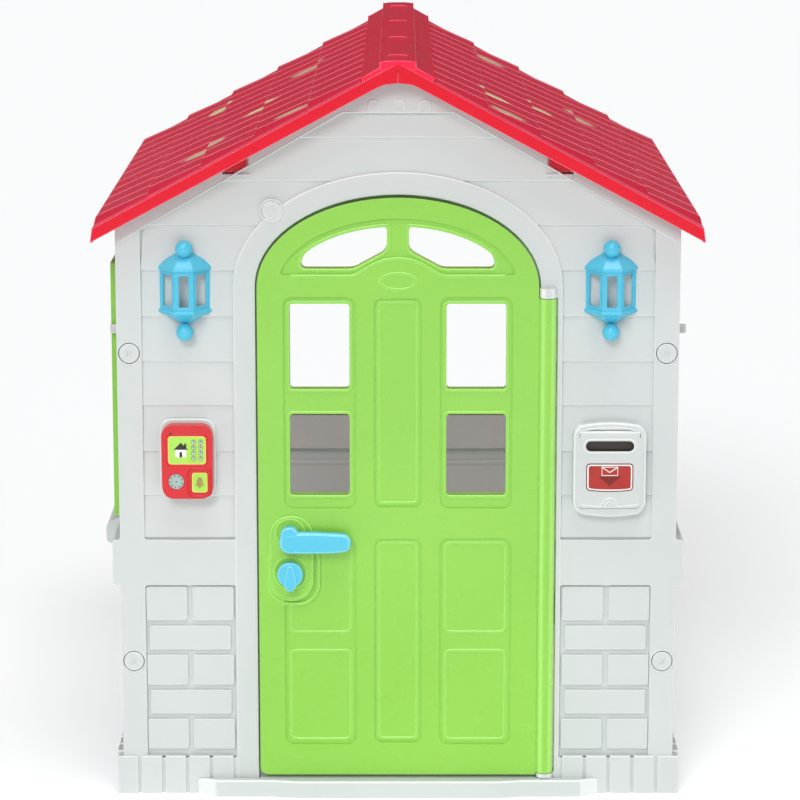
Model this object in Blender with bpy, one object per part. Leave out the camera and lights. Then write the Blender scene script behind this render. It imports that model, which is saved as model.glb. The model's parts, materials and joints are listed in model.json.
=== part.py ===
"""Moulded plastic playhouse: four wall panels, a two-part ribbed roof with a ridge cap, an arched door,
shutters, wall lanterns, an intercom with a bell button and a mailbox.

Units are metres and +Z is up. The origin is on the floor at the middle of the house, the door is in the
wall at -Y, and its hinge is at +X. Walls, roof and door are thin skins stiffened by rims, as moulded panels
are. Moving pieces have their origin on their joint's axis.
"""
from math import atan, cos, pi, radians, sin

import bmesh
import bpy
from mathutils import Matrix, Vector

GAP = 0.0003                # clearance between pieces that touch
SKIN = 0.004                # thickness of a moulded skin

# Walls
WALL_X = 0.410              # outer face of the side walls
WALL_Y = 0.487              # outer face of the front and back walls
WALL_DEPTH = 0.022          # depth of a panel's rims
BOARD_SET_BACK = 0.005      # the boarding lies this far behind the posts
POST_WIDTH = 0.0365
BELT_LOW, BELT_HIGH = 0.320, 0.389
BELT_X = 0.4215
BELT_PROUD = 0.001
SKIRT_HIGH = 0.058
SKIRT_X = 0.421
SKIRT_PROUD = 0.004
SIDE_TOP = 0.866
SIDE_END_Y = WALL_Y - WALL_DEPTH - GAP

# Roof: its tiles start on the line z = ROOF_LINE - ROOF_SLOPE * |x|
ROOF_LINE = 1.0949
ROOF_SLOPE = 0.5393
ROOF_HALF_LENGTH = 0.517
ROOF_SKIN = 0.006
EAVE_X = 0.4435
EAVE_LOW = 0.836
FASCIA_HEIGHT = 0.0197
FASCIA_THICK = 0.012
APEX_FLAT = 1.0915
COURSE_EDGES = (0.0525, 0.130, 0.208, 0.284, 0.360, 0.4395)
COURSE_RISE = 0.0015
COURSE_STEP = 0.0085
LUG_X = (0.2175, 0.2510)
LUG_LOW = 0.934
NOTCH_X = (0.2155, 0.2530)
NOTCH_LOW = 0.932

# Ridge cap
CAP_HALF = 0.052
CAP_LINE = 1.1020
CAP_STRIP_HALF = 0.0257
CAP_TOP = 1.0985
CAP_RIB_TOP = 1.100
CAP_RIB_PITCH = 0.290

# Doorway and door
DOORWAY_HALF = 0.2075
SPRING_Z = 0.767            # where the arch starts
DOORWAY_RISE = 0.135
TRIM_HALF = 0.240
TRIM_RISE = 0.168
HINGE_EDGE_X = 0.2325       # the doorway is wider beside the door's hinge barrel
DOOR_HALF = 0.205
DOOR_RISE = 0.131
DOOR_LOW = 0.030
DOOR_CORNER = 0.012
DOOR_FRONT = -0.493
DOOR_BACK = -0.473
HINGE_X = 0.2183
HINGE_Y = -0.4875
BARREL_R = 0.0125
BARREL_LOW, BARREL_HIGH = 0.0330, 0.7507
KNUCKLE_HIGH = 0.7660
PIN_R = 0.004
BORE_R = 0.0043
WINDOW_X = (0.0706, 0.1580)
UPPER_WINDOW_Z = (0.617, 0.743)
LOWER_WINDOW_Z = (0.458, 0.5795)
FANLIGHT_LOW = 0.795

# Handle and lock
HANDLE_X, HANDLE_Z = -0.159, 0.4015
LOCK_X, LOCK_Z = -0.1585, 0.3416
PLATE_X = -0.157
PLATE_Z = (0.298, 0.428)
PLATE_HALF = 0.033
PLATE_FRONT = -0.497
LEVER_FRONT = -0.5165
LEVER_BACK_OF_INNER = -0.4540
SHAFT_R = 0.005

# Side windows and shutters
SIDE_WINDOW_Y = 0.200
SIDE_WINDOW_Z = (0.410, 0.785)
SIDE_FRAME = 0.012
SHUTTER_X = 0.4225          # the shutters' hinge axes
SHUTTER_Y = 0.2035
SHUTTER_WIDTH = 0.2010
SHUTTER_THICK = 0.012
SHUTTER_Z = (0.4055, 0.7895)
SHUTTER_BARREL_R = 0.0075
PEG_R = 0.003
PEG_BORE_R = 0.0033

# Back window
BACK_WINDOW_X = 0.190
BACK_WINDOW_Z = (0.400, 0.750)

# Corner screws
SCREW_X = 0.392
SCREW_Z = {"upper": 0.669, "lower": 0.204}
SCREW_HEAD_R = 0.0145

# Wall fittings
LANTERN_X = 0.3095
LANTERN_R = 0.0405
LANTERN_DEPTH = 0.78        # depth of the half hexagon compared with its half width
INTERCOM_X, INTERCOM_Z = -0.308, 0.5110
INTERCOM_SIZE = (0.075, 0.110)
INTERCOM_FRONT = -0.5070
FITTING_BACK = -(WALL_Y - BOARD_SET_BACK) - GAP
MAILBOX_X, MAILBOX_Z = 0.310, 0.498
MAILBOX_SIZE = (0.107, 0.142)
MAILBOX_FRONT = -0.5010
MAILBOX_HINGE_Y, MAILBOX_HINGE_Z = -0.4975, 0.5520
PLUG_X, PLUG_Z, PLUG_R = -0.183, 0.879, 0.014


# ---- drawing helpers -------------------------------------------------------------------------------

def clear_scene():
    for item in list(bpy.data.objects):
        bpy.data.objects.remove(item, do_unlink=True)


def linear(channel):
    if channel <= 0.04045:
        return channel / 12.92
    return ((channel + 0.055) / 1.055) ** 2.4


def plastic(name, colour, roughness=0.4, metallic=0.0):
    """A Principled material from an sRGB colour given as a hex string."""
    made = bpy.data.materials.new(name)
    made.use_nodes = True
    shader = made.node_tree.nodes["Principled BSDF"]
    channels = [linear(int(colour[i:i + 2], 16) / 255) for i in (0, 2, 4)]
    shader.inputs["Base Color"].default_value = (*channels, 1.0)
    shader.inputs["Roughness"].default_value = roughness
    shader.inputs["Metallic"].default_value = metallic
    made.diffuse_color = (*channels, 1.0)
    return made


def place(plane, u, v, w):
    """A point from two coordinates in a plane and one across it."""
    if plane == "XZ":
        return Vector((u, w, v))
    if plane == "YZ":
        return Vector((w, u, v))
    return Vector((u, v, w))


def add_object(name, bm):
    mesh = bpy.data.meshes.new(name)
    bmesh.ops.recalc_face_normals(bm, faces=bm.faces)
    bm.to_mesh(mesh)
    bm.free()
    made = bpy.data.objects.new(name, mesh)
    bpy.context.scene.collection.objects.link(made)
    return made


def prism(plane, outline, low, high, holes=()):
    """A flat outline, with any holes, drawn out between two levels."""
    bm = bmesh.new()
    edges = []
    for loop in (outline, *holes):
        verts = [bm.verts.new(place(plane, u, v, low)) for u, v in loop]
        for index, vert in enumerate(verts):
            edges.append(bm.edges.new((vert, verts[index - 1])))
    bmesh.ops.triangle_fill(bm, use_beauty=True, use_dissolve=False, edges=edges)
    drawn = bmesh.ops.extrude_face_region(bm, geom=bm.faces[:])
    moved = [item for item in drawn["geom"] if isinstance(item, bmesh.types.BMVert)]
    bmesh.ops.translate(bm, verts=moved, vec=place(plane, 0, 0, high - low))
    return add_object("prism", bm)


def box(x, y, z):
    """A block between pairs of coordinates, given in any order."""
    outline = [(x[0], z[0]), (x[1], z[0]), (x[1], z[1]), (x[0], z[1])]
    return prism("XZ", outline, min(y), max(y))


def loft(plane, rings):
    """A closed solid through rings of (points, level), each ring with the same number of points."""
    bm = bmesh.new()
    loops = []
    for points, level in rings:
        loops.append([bm.verts.new(place(plane, u, v, level)) for u, v in points])
    for lower, upper in zip(loops, loops[1:]):
        for index in range(len(lower)):
            bm.faces.new((lower[index - 1], lower[index], upper[index], upper[index - 1]))
    bm.faces.new(loops[0])
    bm.faces.new(loops[-1])
    return add_object("loft", bm)


def combine(base, tools, operation):
    for tool in tools:
        modifier = base.modifiers.new("combine", "BOOLEAN")
        modifier.operation = operation
        modifier.object = tool
    graph = bpy.context.evaluated_depsgraph_get()
    mesh = bpy.data.meshes.new_from_object(base.evaluated_get(graph))
    base.modifiers.clear()
    base.data = mesh
    for tool in tools:
        bpy.data.objects.remove(tool, do_unlink=True)
    return base


def unite(*pieces):
    return combine(pieces[0], pieces[1:], "UNION")


def cut(piece, *tools):
    return combine(piece, tools, "DIFFERENCE")


def finish(name, piece, material, pivot=None, smooth=False):
    """Name a piece, give it its material and put its origin on its pivot."""
    piece.name = name
    piece.data.name = name
    piece.data.materials.clear()
    piece.data.materials.append(material)
    if pivot is not None:
        piece.data.transform(Matrix.Translation(-Vector(pivot)))
        piece.location = pivot
    if smooth:
        piece.data.shade_smooth()
        piece.data.set_sharp_from_angle(angle=radians(35))
    return piece


# ---- outlines --------------------------------------------------------------------------------------

def circle(u, v, radius, count=24):
    return [(u + radius * cos(2 * pi * i / count), v + radius * sin(2 * pi * i / count))
            for i in range(count)]


def rounded(u, v, radius, count=4):
    """A rectangle between pairs of coordinates with round corners."""
    low_u, high_u = u
    low_v, high_v = v
    corners = ((high_u, low_v, -90), (high_u, high_v, 0), (low_u, high_v, 90), (low_u, low_v, 180))
    points = []
    for corner_u, corner_v, start in corners:
        centre_u = corner_u - radius if corner_u == high_u else corner_u + radius
        centre_v = corner_v - radius if corner_v == high_v else corner_v + radius
        for step in range(count + 1):
            angle = radians(start + 90 * step / count)
            points.append((centre_u + radius * cos(angle), centre_v + radius * sin(angle)))
    return points


def rectangle(u, v):
    return [(u[0], v[0]), (u[1], v[0]), (u[1], v[1]), (u[0], v[1])]


def grown(span, by):
    return span[0] - by, span[1] + by


def arch(half, rise, count=24):
    """The arch from its right springing point over to its left one."""
    return [(half * cos(pi * i / count), SPRING_Z + rise * sin(pi * i / count)) for i in range(count + 1)]


def mirrored(points):
    return [(-u, v) for u, v in points]


def roof_line(x, drop=0.0):
    return ROOF_LINE - drop - ROOF_SLOPE * abs(x)


def gable_top():
    """The top edge of a gable wall from +X to -X, just under the roof."""
    drop = ROOF_SKIN + 0.001
    flat = 1.080
    flat_x = (ROOF_LINE - drop - flat) / ROOF_SLOPE
    right = [(WALL_X, roof_line(WALL_X, drop)), (flat_x, flat)]
    return right + mirrored(right[::-1])


def doorway():
    """The doorway's edge from its right foot, past the hinge, over the arch to its left foot."""
    right = [(HINGE_EDGE_X, 0.0), (HINGE_EDGE_X, BARREL_HIGH), (DOORWAY_HALF, BARREL_HIGH)]
    return right + arch(DOORWAY_HALF, DOORWAY_RISE) + [(-DOORWAY_HALF, 0.0)]


# ---- walls -----------------------------------------------------------------------------------------

def gable_features(side):
    """What the front and back walls share; side is -1 for the front and +1 for the back."""
    face, inner = side * WALL_Y, side * (WALL_Y - WALL_DEPTH)
    low, high = min(face, inner), max(face, inner)
    pieces = []
    for hand in (-1, 1):
        post = [(WALL_X, 0.0), (WALL_X, roof_line(WALL_X, 0.008)),
                (WALL_X - POST_WIDTH, roof_line(WALL_X - POST_WIDTH, 0.008)), (WALL_X - POST_WIDTH, 0.0)]
        pieces.append(prism("XZ", [(hand * u, v) for u, v in post], low, high))
        belt_face = side * (WALL_Y + BELT_PROUD)
        skirt_face = side * (WALL_Y + SKIRT_PROUD)
        inner_x = hand * (TRIM_HALF - 0.002)
        pieces.append(box((inner_x, hand * BELT_X), (belt_face, inner), (BELT_LOW, BELT_HIGH)))
        pieces.append(box((inner_x, hand * SKIRT_X), (skirt_face, inner), (0.0, SKIRT_HIGH)))
    lower_right = [(WALL_X, 0.8308), (0.080, 1.0200)]
    rake = gable_top() + mirrored(lower_right) + lower_right[::-1]
    pieces.append(prism("XZ", rake, low, high))
    return pieces


def gable_cuts(side):
    """The roof lugs' notches and the corner screws' holes."""
    face, inner = side * (WALL_Y + 0.02), side * (WALL_Y - WALL_DEPTH - 0.01)
    head_floor = side * (WALL_Y - 0.005)
    pieces = []
    for hand in (-1, 1):
        notch = rounded((NOTCH_X[0], NOTCH_X[1]), (NOTCH_LOW, 1.03), 0.004)
        notch = [(hand * u, v) for u, v in notch]
        pieces.append(prism("XZ", notch, min(face, inner), max(face, inner)))
        for height in SCREW_Z.values():
            hole = circle(hand * SCREW_X, height, SHAFT_R - 0.0005, 12)
            pieces.append(prism("XZ", hole, min(face, inner), max(face, inner)))
            head = circle(hand * SCREW_X, height, SCREW_HEAD_R + 0.001)
            pieces.append(prism("XZ", head, min(face, head_floor), max(face, head_floor)))
    return pieces


def front_wall(white):
    skin_front = -(WALL_Y - BOARD_SET_BACK)
    outline = [(WALL_X, 0.0)] + gable_top() + [(-WALL_X, 0.0)] + doorway()[::-1]
    mail_hole = rectangle((MAILBOX_X - 0.048, MAILBOX_X + 0.048), (MAILBOX_Z - 0.062, MAILBOX_Z + 0.062))
    skin = prism("XZ", outline, skin_front, skin_front + SKIN, holes=[mail_hole])
    frame = [(TRIM_HALF, 0.0)] + arch(TRIM_HALF, TRIM_RISE) + [(-TRIM_HALF, 0.0)] + doorway()[::-1]
    trim = prism("XZ", frame, -WALL_Y, -(WALL_Y - WALL_DEPTH))
    upper = prism("XY", circle(HINGE_X, HINGE_Y, BARREL_R), BARREL_HIGH + 0.0005, KNUCKLE_HIGH)
    lower = prism("XY", circle(HINGE_X, HINGE_Y, BARREL_R), 0.0255, BARREL_LOW - 0.0005)
    upper_web = box((HINGE_X, HINGE_EDGE_X + 0.003), (HINGE_Y, -0.466), (BARREL_HIGH + 0.0005, KNUCKLE_HIGH))
    lower_web = box((HINGE_X, HINGE_EDGE_X + 0.003), (HINGE_Y, -0.466), (0.0255, BARREL_LOW - 0.0005))
    wall = unite(skin, *gable_features(-1), trim, upper, upper_web, lower, lower_web)
    pin_bore = prism("XY", circle(HINGE_X, HINGE_Y, BORE_R, 16), 0.0, KNUCKLE_HIGH + 0.0002)
    plug_hole = prism("XZ", circle(PLUG_X, PLUG_Z, PLUG_R + 0.0005), -0.50, -0.483)
    cut(wall, pin_bore, plug_hole, *gable_cuts(-1))
    return finish("front_wall", wall, white)


def back_wall(white):
    skin_face = WALL_Y - BOARD_SET_BACK
    outline = [(WALL_X, 0.0)] + gable_top() + [(-WALL_X, 0.0)]
    span = (-BACK_WINDOW_X, BACK_WINDOW_X)
    window = rectangle(span, BACK_WINDOW_Z)
    skin = prism("XZ", outline, skin_face - SKIN, skin_face, holes=[window])
    frame = prism("XZ", rectangle(grown(span, 0.020), grown(BACK_WINDOW_Z, 0.020)),
                  WALL_Y - WALL_DEPTH, WALL_Y, holes=[window])
    belt = box((-TRIM_HALF, TRIM_HALF), (WALL_Y - WALL_DEPTH, WALL_Y + BELT_PROUD), (BELT_LOW, BELT_HIGH))
    skirt = box((-TRIM_HALF, TRIM_HALF), (WALL_Y - WALL_DEPTH, WALL_Y + SKIRT_PROUD), (0.0, SKIRT_HIGH))
    wall = unite(skin, *gable_features(1), frame, belt, skirt)
    cut(wall, *gable_cuts(1))
    return finish("back_wall", wall, white)


def side_wall(name, hand, white):
    """A side wall with a shuttered window; hand is -1 for the left wall and +1 for the right one."""
    def across(inner, outer):
        return min(hand * inner, hand * outer), max(hand * inner, hand * outer)

    inner_x = WALL_X - WALL_DEPTH
    skin_x = WALL_X - BOARD_SET_BACK
    ends = (-SIDE_END_Y, SIDE_END_Y)
    opening_y = (-SIDE_WINDOW_Y, SIDE_WINDOW_Y)
    window = rectangle(opening_y, SIDE_WINDOW_Z)
    skin = prism("YZ", rectangle(ends, (0.0, SIDE_TOP)), *across(skin_x - SKIN, skin_x), holes=[window])
    frame = prism("YZ", rectangle(grown(opening_y, SIDE_FRAME), grown(SIDE_WINDOW_Z, SIDE_FRAME)),
                  *across(inner_x, WALL_X), holes=[window])
    pieces = [frame]
    pieces.append(box(across(inner_x, BELT_X), ends, (BELT_LOW, BELT_HIGH)))
    pieces.append(box(across(inner_x, SKIRT_X), ends, (0.0, SKIRT_HIGH)))
    pieces.append(box(across(inner_x, WALL_X), ends, (0.828, SIDE_TOP)))
    knuckles_z = ((SHUTTER_Z[0] - 0.0115, SHUTTER_Z[0] - 0.0010), (SHUTTER_Z[1] + 0.0010, SHUTTER_Z[1] + 0.0115))
    bores = []
    for end in (-1, 1):
        end_y = (end * (SIDE_END_Y - 0.024), end * SIDE_END_Y)
        pieces.append(box(across(WALL_X - POST_WIDTH, WALL_X), end_y, (0.0, SIDE_TOP)))
        knuckle_y = (end * (SHUTTER_Y - 0.0080), end * (SHUTTER_Y + 0.0080))
        for span in knuckles_z:
            pieces.append(box(across(WALL_X - 0.004, SHUTTER_X + SHUTTER_BARREL_R), knuckle_y, span))
        peg_hole = circle(hand * SHUTTER_X, end * SHUTTER_Y, PEG_BORE_R, 12)
        bores.append(prism("XY", peg_hole, 0.392, 0.810))
        for height in SCREW_Z.values():
            hole = circle(hand * SCREW_X, height, SHAFT_R - 0.0005, 12)
            depths = sorted((end * 0.445, end * 0.480))
            bores.append(prism("XZ", hole, *depths))
    wall = unite(skin, *pieces)
    cut(wall, *bores)
    return finish(name, wall, white)


def door_threshold(white):
    """The doorstep, which ties the wall's two feet together and juts out in front of the door."""
    front, wide, dish = -0.512, 0.300, 0.150
    back = -0.440
    face = -(WALL_Y + SKIRT_PROUD) - GAP
    inner = DOORWAY_HALF - 0.001
    plan = [(-wide, face), (-wide + 0.012, front + 0.006), (-dish - 0.035, front + 0.006), (-dish, front),
            (dish, front), (dish + 0.035, front + 0.006), (wide - 0.012, front + 0.006), (wide, face),
            (inner, face), (inner, back), (-inner, back), (-inner, face)]
    step = prism("XY", plan, 0.0, 0.025)
    hollow = prism("XY", rectangle((-inner + 0.006, inner - 0.006), (face + 0.006, back - 0.006)), -0.01, 0.020)
    return finish("door_threshold", cut(step, hollow), white)


def window_ledge(white):
    """The ledge under the left window, hooked over the belt."""
    belt, outer = BELT_X + GAP, 0.4425
    board = WALL_X - BOARD_SET_BACK + 0.0005
    top = 0.3925
    profile = [(belt, 0.349), (outer - 0.004, 0.349), (outer, 0.354), (outer, 0.3775), (0.4185, top),
               (board, top), (board, BELT_HIGH + GAP), (belt, BELT_HIGH + GAP)]
    return finish("window_ledge", prism("XZ", mirrored(profile), -0.345, 0.345), white)


# ---- roof ------------------------------------------------------------------------------------------

def fascia_low(x):
    return roof_line(x, FASCIA_HEIGHT)


def roof_half(name, hand, red):
    seam = 0.0004
    top = [(seam, APEX_FLAT), (0.0062, APEX_FLAT), (COURSE_EDGES[0], roof_line(COURSE_EDGES[0]))]
    for start, end in zip(COURSE_EDGES, COURSE_EDGES[1:]):
        top.append((start, roof_line(start) + COURSE_RISE))
        top.append((end, roof_line(end) + COURSE_STEP))
    eave = [(EAVE_X, EAVE_LOW), (EAVE_X - 0.005, EAVE_LOW + 0.001)]
    inner_x = EAVE_X - 0.007
    flat = 1.083
    flat_x = (ROOF_LINE - ROOF_SKIN - flat) / ROOF_SLOPE
    under = [(inner_x, roof_line(inner_x, ROOF_SKIN)), (flat_x, flat), (seam, flat)]
    skin_outline = [(hand * x, z) for x, z in top + eave + under]
    skin = prism("XZ", skin_outline, -ROOF_HALF_LENGTH, ROOF_HALF_LENGTH)

    curve = [(x, fascia_low(0.030) + 0.0070 * (1 - (x / 0.030) ** 2)) for x in (0.020, 0.010, seam)]
    band = [(seam, APEX_FLAT), (0.0062, APEX_FLAT), (0.4400, roof_line(0.4400)), (EAVE_X, EAVE_LOW),
            (0.030, fascia_low(0.030))] + curve
    band = [(hand * x, z) for x, z in band]
    pieces = []
    for end in (-1, 1):
        levels = sorted((end * ROOF_HALF_LENGTH, end * (ROOF_HALF_LENGTH - FASCIA_THICK)))
        pieces.append(prism("XZ", band, *levels))
        lug_x = (hand * LUG_X[0], hand * LUG_X[1])
        lug_y = (end * (ROOF_HALF_LENGTH - FASCIA_THICK + 0.003), end * 0.468)
        pieces.append(box(lug_x, lug_y, (LUG_LOW, roof_line(LUG_X[1], 0.003))))
    return finish(name, unite(skin, *pieces), red)


def ridge_cap(red):
    right = [(CAP_HALF, CAP_LINE - ROOF_SLOPE * CAP_HALF), (CAP_STRIP_HALF, CAP_LINE - ROOF_SLOPE * CAP_STRIP_HALF),
             (CAP_STRIP_HALF - 0.0015, CAP_TOP - 0.003), (CAP_STRIP_HALF - 0.006, CAP_TOP - 0.0005),
             (0.010, CAP_TOP)]
    under_line = CAP_LINE - 0.0035
    flat = 1.0922
    under = [((under_line - flat) / ROOF_SLOPE, flat), (CAP_HALF, under_line - ROOF_SLOPE * CAP_HALF)]
    profile = right + mirrored(right[::-1]) + mirrored(under[::-1]) + under
    cap = prism("XZ", profile, -ROOF_HALF_LENGTH, ROOF_HALF_LENGTH)
    ribs = []
    for index in range(4):
        middle = (index - 1.5) * CAP_RIB_PITCH
        ribs.append(box((-0.015, 0.015), (middle - 0.006, middle + 0.006), (CAP_TOP - 0.003, CAP_RIB_TOP)))
    return finish("ridge_cap", unite(cap, *ribs), red)


# ---- door ------------------------------------------------------------------------------------------

def door_outline(inset=0.0):
    half, low = DOOR_HALF - inset, DOOR_LOW + inset
    corner = max(DOOR_CORNER - inset, 0.004)
    foot = [(-half + corner * (1 - cos(radians(a))), low + corner * (1 - sin(radians(a)))) for a in (0, 30, 60, 90)]
    return foot + [(half, low)] + arch(half, DOOR_RISE - inset)


def fanlight(hand, grow=0.0):
    """A window in the arch; its top edge runs parallel to the arch."""
    inner, outer = 0.0161 - grow, 0.1415 + grow
    low = FANLIGHT_LOW - grow
    half, rise = DOOR_HALF - 0.042 + grow, DOOR_RISE - 0.042 + grow
    points = [(outer - 0.004, low), (0.064, low), (0.0225, low + 0.0225), (inner, low + 0.030)]
    for step in range(7):
        x = inner + (outer - 0.006 - inner) * step / 6
        points.append((x, SPRING_Z + rise * (1 - (x / half) ** 2) ** 0.5))
    points.append((outer, low + 0.008))
    return [(hand * u, v) for u, v in points]


def door_panel(green):
    windows, frames = [], []
    rim = 0.006
    for hand in (-1, 1):
        span = (min(hand * WINDOW_X[0], hand * WINDOW_X[1]), max(hand * WINDOW_X[0], hand * WINDOW_X[1]))
        for height in (UPPER_WINDOW_Z, LOWER_WINDOW_Z):
            hole = rounded(span, height, 0.005, 2)
            windows.append(hole)
            outer = rounded(grown(span, rim), grown(height, rim), 0.008, 2)
            frames.append(prism("XZ", outer, DOOR_FRONT, DOOR_BACK, holes=[hole]))
        windows.append(fanlight(hand))
        frames.append(prism("XZ", fanlight(hand, rim), DOOR_FRONT, DOOR_BACK, holes=[fanlight(hand)]))
    skin = prism("XZ", door_outline(), DOOR_FRONT, DOOR_FRONT + SKIN, holes=windows)
    edge = prism("XZ", door_outline(), DOOR_FRONT, DOOR_BACK, holes=[door_outline(0.008)])
    plate_x = (PLATE_X - PLATE_HALF, PLATE_X + PLATE_HALF)
    plate = prism("XZ", rounded(plate_x, PLATE_Z, PLATE_HALF - 0.0005, 6), PLATE_FRONT, DOOR_BACK)
    barrel = prism("XY", circle(HINGE_X, HINGE_Y, BARREL_R), BARREL_LOW, BARREL_HIGH)
    web = box((DOOR_HALF - 0.010, HINGE_X - 0.006), (DOOR_FRONT, -0.4770), (BARREL_LOW, BARREL_HIGH))
    rails = [box((-0.200, 0.200), (DOOR_FRONT, DOOR_BACK), (z - 0.003, z + 0.003)) for z in (0.236, 0.430, 0.600)]
    panel = unite(skin, edge, *frames, plate, web, barrel, *rails)
    bores = []
    for span in ((0.0, 0.052), (0.732, 0.90)):
        bores.append(prism("XY", circle(HINGE_X, HINGE_Y, BORE_R, 16), *span))
    for x, z in ((HANDLE_X, HANDLE_Z), (LOCK_X, LOCK_Z)):
        bores.append(prism("XZ", circle(x, z, SHAFT_R + 0.0004, 16), -0.51, -0.46))
    cut(panel, *bores)
    return finish("door_panel", panel, green, pivot=(HINGE_X, HINGE_Y, 0.0))


def door_pins(steel):
    for name, low, high in (("door_pin_lower", 0.0262, 0.0510), ("door_pin_upper", 0.7330, 0.7655)):
        finish(name, prism("XY", circle(HINGE_X, HINGE_Y, PIN_R, 16), low, high), steel, smooth=True)


def lever(name, front, back, hub_end, blue):
    """A lever handle: a hub on the shaft's axis and a paddle; hub_end is the side next to the door."""
    hub_r = 0.0133
    paddle = [(-0.0625 + 0.047, 0.0010), (0.020, 0.0052), (0.068, 0.0035), (0.083, 0.0015), (0.0885, -0.0050),
              (0.0905, -0.0120), (0.0880, -0.0190), (0.082, -0.0240), (0.060, -0.0268), (0.000, -0.0275),
              (-0.0080, -0.0250), (-0.0130, -0.0190), (-0.0155, -0.0100)]
    paddle = [(HANDLE_X + u, HANDLE_Z + v) for u, v in paddle]
    middle = front + (back - front) * (0.68 if hub_end == back else 0.32)
    spans = sorted((front if hub_end == back else back, middle))
    bar = prism("XZ", paddle, *spans)
    hub = prism("XZ", circle(HANDLE_X, HANDLE_Z, hub_r), front, back)
    inner_end = hub_end + (-0.010 if hub_end == back else 0.010)
    socket_span = sorted((hub_end + (0.002 if hub_end == back else -0.002), inner_end))
    socket = prism("XZ", circle(HANDLE_X, HANDLE_Z, SHAFT_R + GAP, 16), *socket_span)
    made = cut(unite(hub, bar), socket)
    return finish(name, made, blue, pivot=(HANDLE_X, PLATE_FRONT, HANDLE_Z))


def lock_knob(name, front, back, hub_end, blue):
    """A turn knob with a fin across it that points down at rest."""
    disc = prism("XZ", circle(LOCK_X, LOCK_Z, 0.019), front, back)
    fin_low = LOCK_Z - 0.0243
    fin_outline = [(LOCK_X - 0.0035, fin_low), (LOCK_X + 0.0035, fin_low), (LOCK_X + 0.0065, LOCK_Z - 0.010),
                   (LOCK_X + 0.0030, LOCK_Z + 0.014), (LOCK_X - 0.0030, LOCK_Z + 0.014),
                   (LOCK_X - 0.0065, LOCK_Z - 0.010)]
    proud = 0.003
    fin_span = (front - proud, back - 0.004) if hub_end == back else (front + 0.004, back + proud)
    fin = prism("XZ", fin_outline, *fin_span)
    inner_end = hub_end + (-0.008 if hub_end == back else 0.008)
    socket_span = sorted((hub_end + (0.002 if hub_end == back else -0.002), inner_end))
    socket = prism("XZ", circle(LOCK_X, LOCK_Z, SHAFT_R + GAP, 16), *socket_span)
    made = cut(unite(disc, fin), socket)
    return finish(name, made, blue, pivot=(LOCK_X, PLATE_FRONT, LOCK_Z))


def door_furniture(blue, dark):
    outside_back = PLATE_FRONT - 0.0005
    inside_front = DOOR_BACK + 0.0005
    lever("handle_lever_outside", LEVER_FRONT, outside_back, outside_back, blue)
    lever("handle_lever_inside", inside_front, LEVER_BACK_OF_INNER, inside_front, blue)
    spindle = prism("XZ", circle(HANDLE_X, HANDLE_Z, SHAFT_R, 16), outside_back - 0.0095, inside_front + 0.0095)
    finish("handle_spindle", spindle, dark, pivot=(HANDLE_X, PLATE_FRONT, HANDLE_Z), smooth=True)
    lock_knob("lock_knob_outside", -0.5125, outside_back, outside_back, blue)
    lock_knob("lock_knob_inside", inside_front, inside_front + 0.0145, inside_front, blue)
    shaft = prism("XZ", circle(LOCK_X, LOCK_Z, SHAFT_R, 16), outside_back - 0.0075, inside_front + 0.0075)
    finish("lock_shaft", shaft, dark, pivot=(LOCK_X, PLATE_FRONT, LOCK_Z), smooth=True)


# ---- shutters --------------------------------------------------------------------------------------

def shutter(name, hand, end, is_open, green):
    """One shutter on its hinge axis; end is -1 for the one nearer the door."""
    away = end if is_open else -end
    axis_y = end * SHUTTER_Y
    free_y = axis_y + away * SHUTTER_WIDTH
    centre_x = hand * SHUTTER_X
    faces = sorted((centre_x - SHUTTER_THICK / 2, centre_x + SHUTTER_THICK / 2))
    span_y = (min(axis_y, free_y), max(axis_y, free_y))
    slab = prism("YZ", rounded(span_y, SHUTTER_Z, 0.006, 3), *faces)
    barrel = prism("XY", circle(centre_x, axis_y, SHUTTER_BARREL_R, 16), SHUTTER_Z[0], SHUTTER_Z[1])
    pegs = prism("XY", circle(centre_x, axis_y, PEG_R, 12), SHUTTER_Z[0] - 0.0105, SHUTTER_Z[1] + 0.0105)
    made = unite(slab, barrel, pegs)
    return finish(name, made, green, pivot=(centre_x, axis_y, SHUTTER_Z[0]))


def shutter_catch(name, hand, end, white):
    """A small post on the wall that an open shutter's free edge clicks against."""
    near = SHUTTER_Y + SHUTTER_WIDTH + 0.0015
    foot_x = sorted((hand * (WALL_X - BOARD_SET_BACK + GAP), hand * (SHUTTER_X + 0.009)))
    span_y = (min(end * near, end * (near + 0.009)), max(end * near, end * (near + 0.009)))
    post = prism("YZ", rounded(span_y, (0.680, 0.704), 0.002, 2), *foot_x)
    return finish(name, post, white)


# ---- wall fittings ---------------------------------------------------------------------------------

def half_hexagon(middle, radius, back):
    """Plan of a lantern: a flat back and three facets towards -Y."""
    deep = radius * LANTERN_DEPTH
    return [(middle - radius, back), (middle - radius / 2, back - deep),
            (middle + radius / 2, back - deep), (middle + radius, back)]


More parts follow.
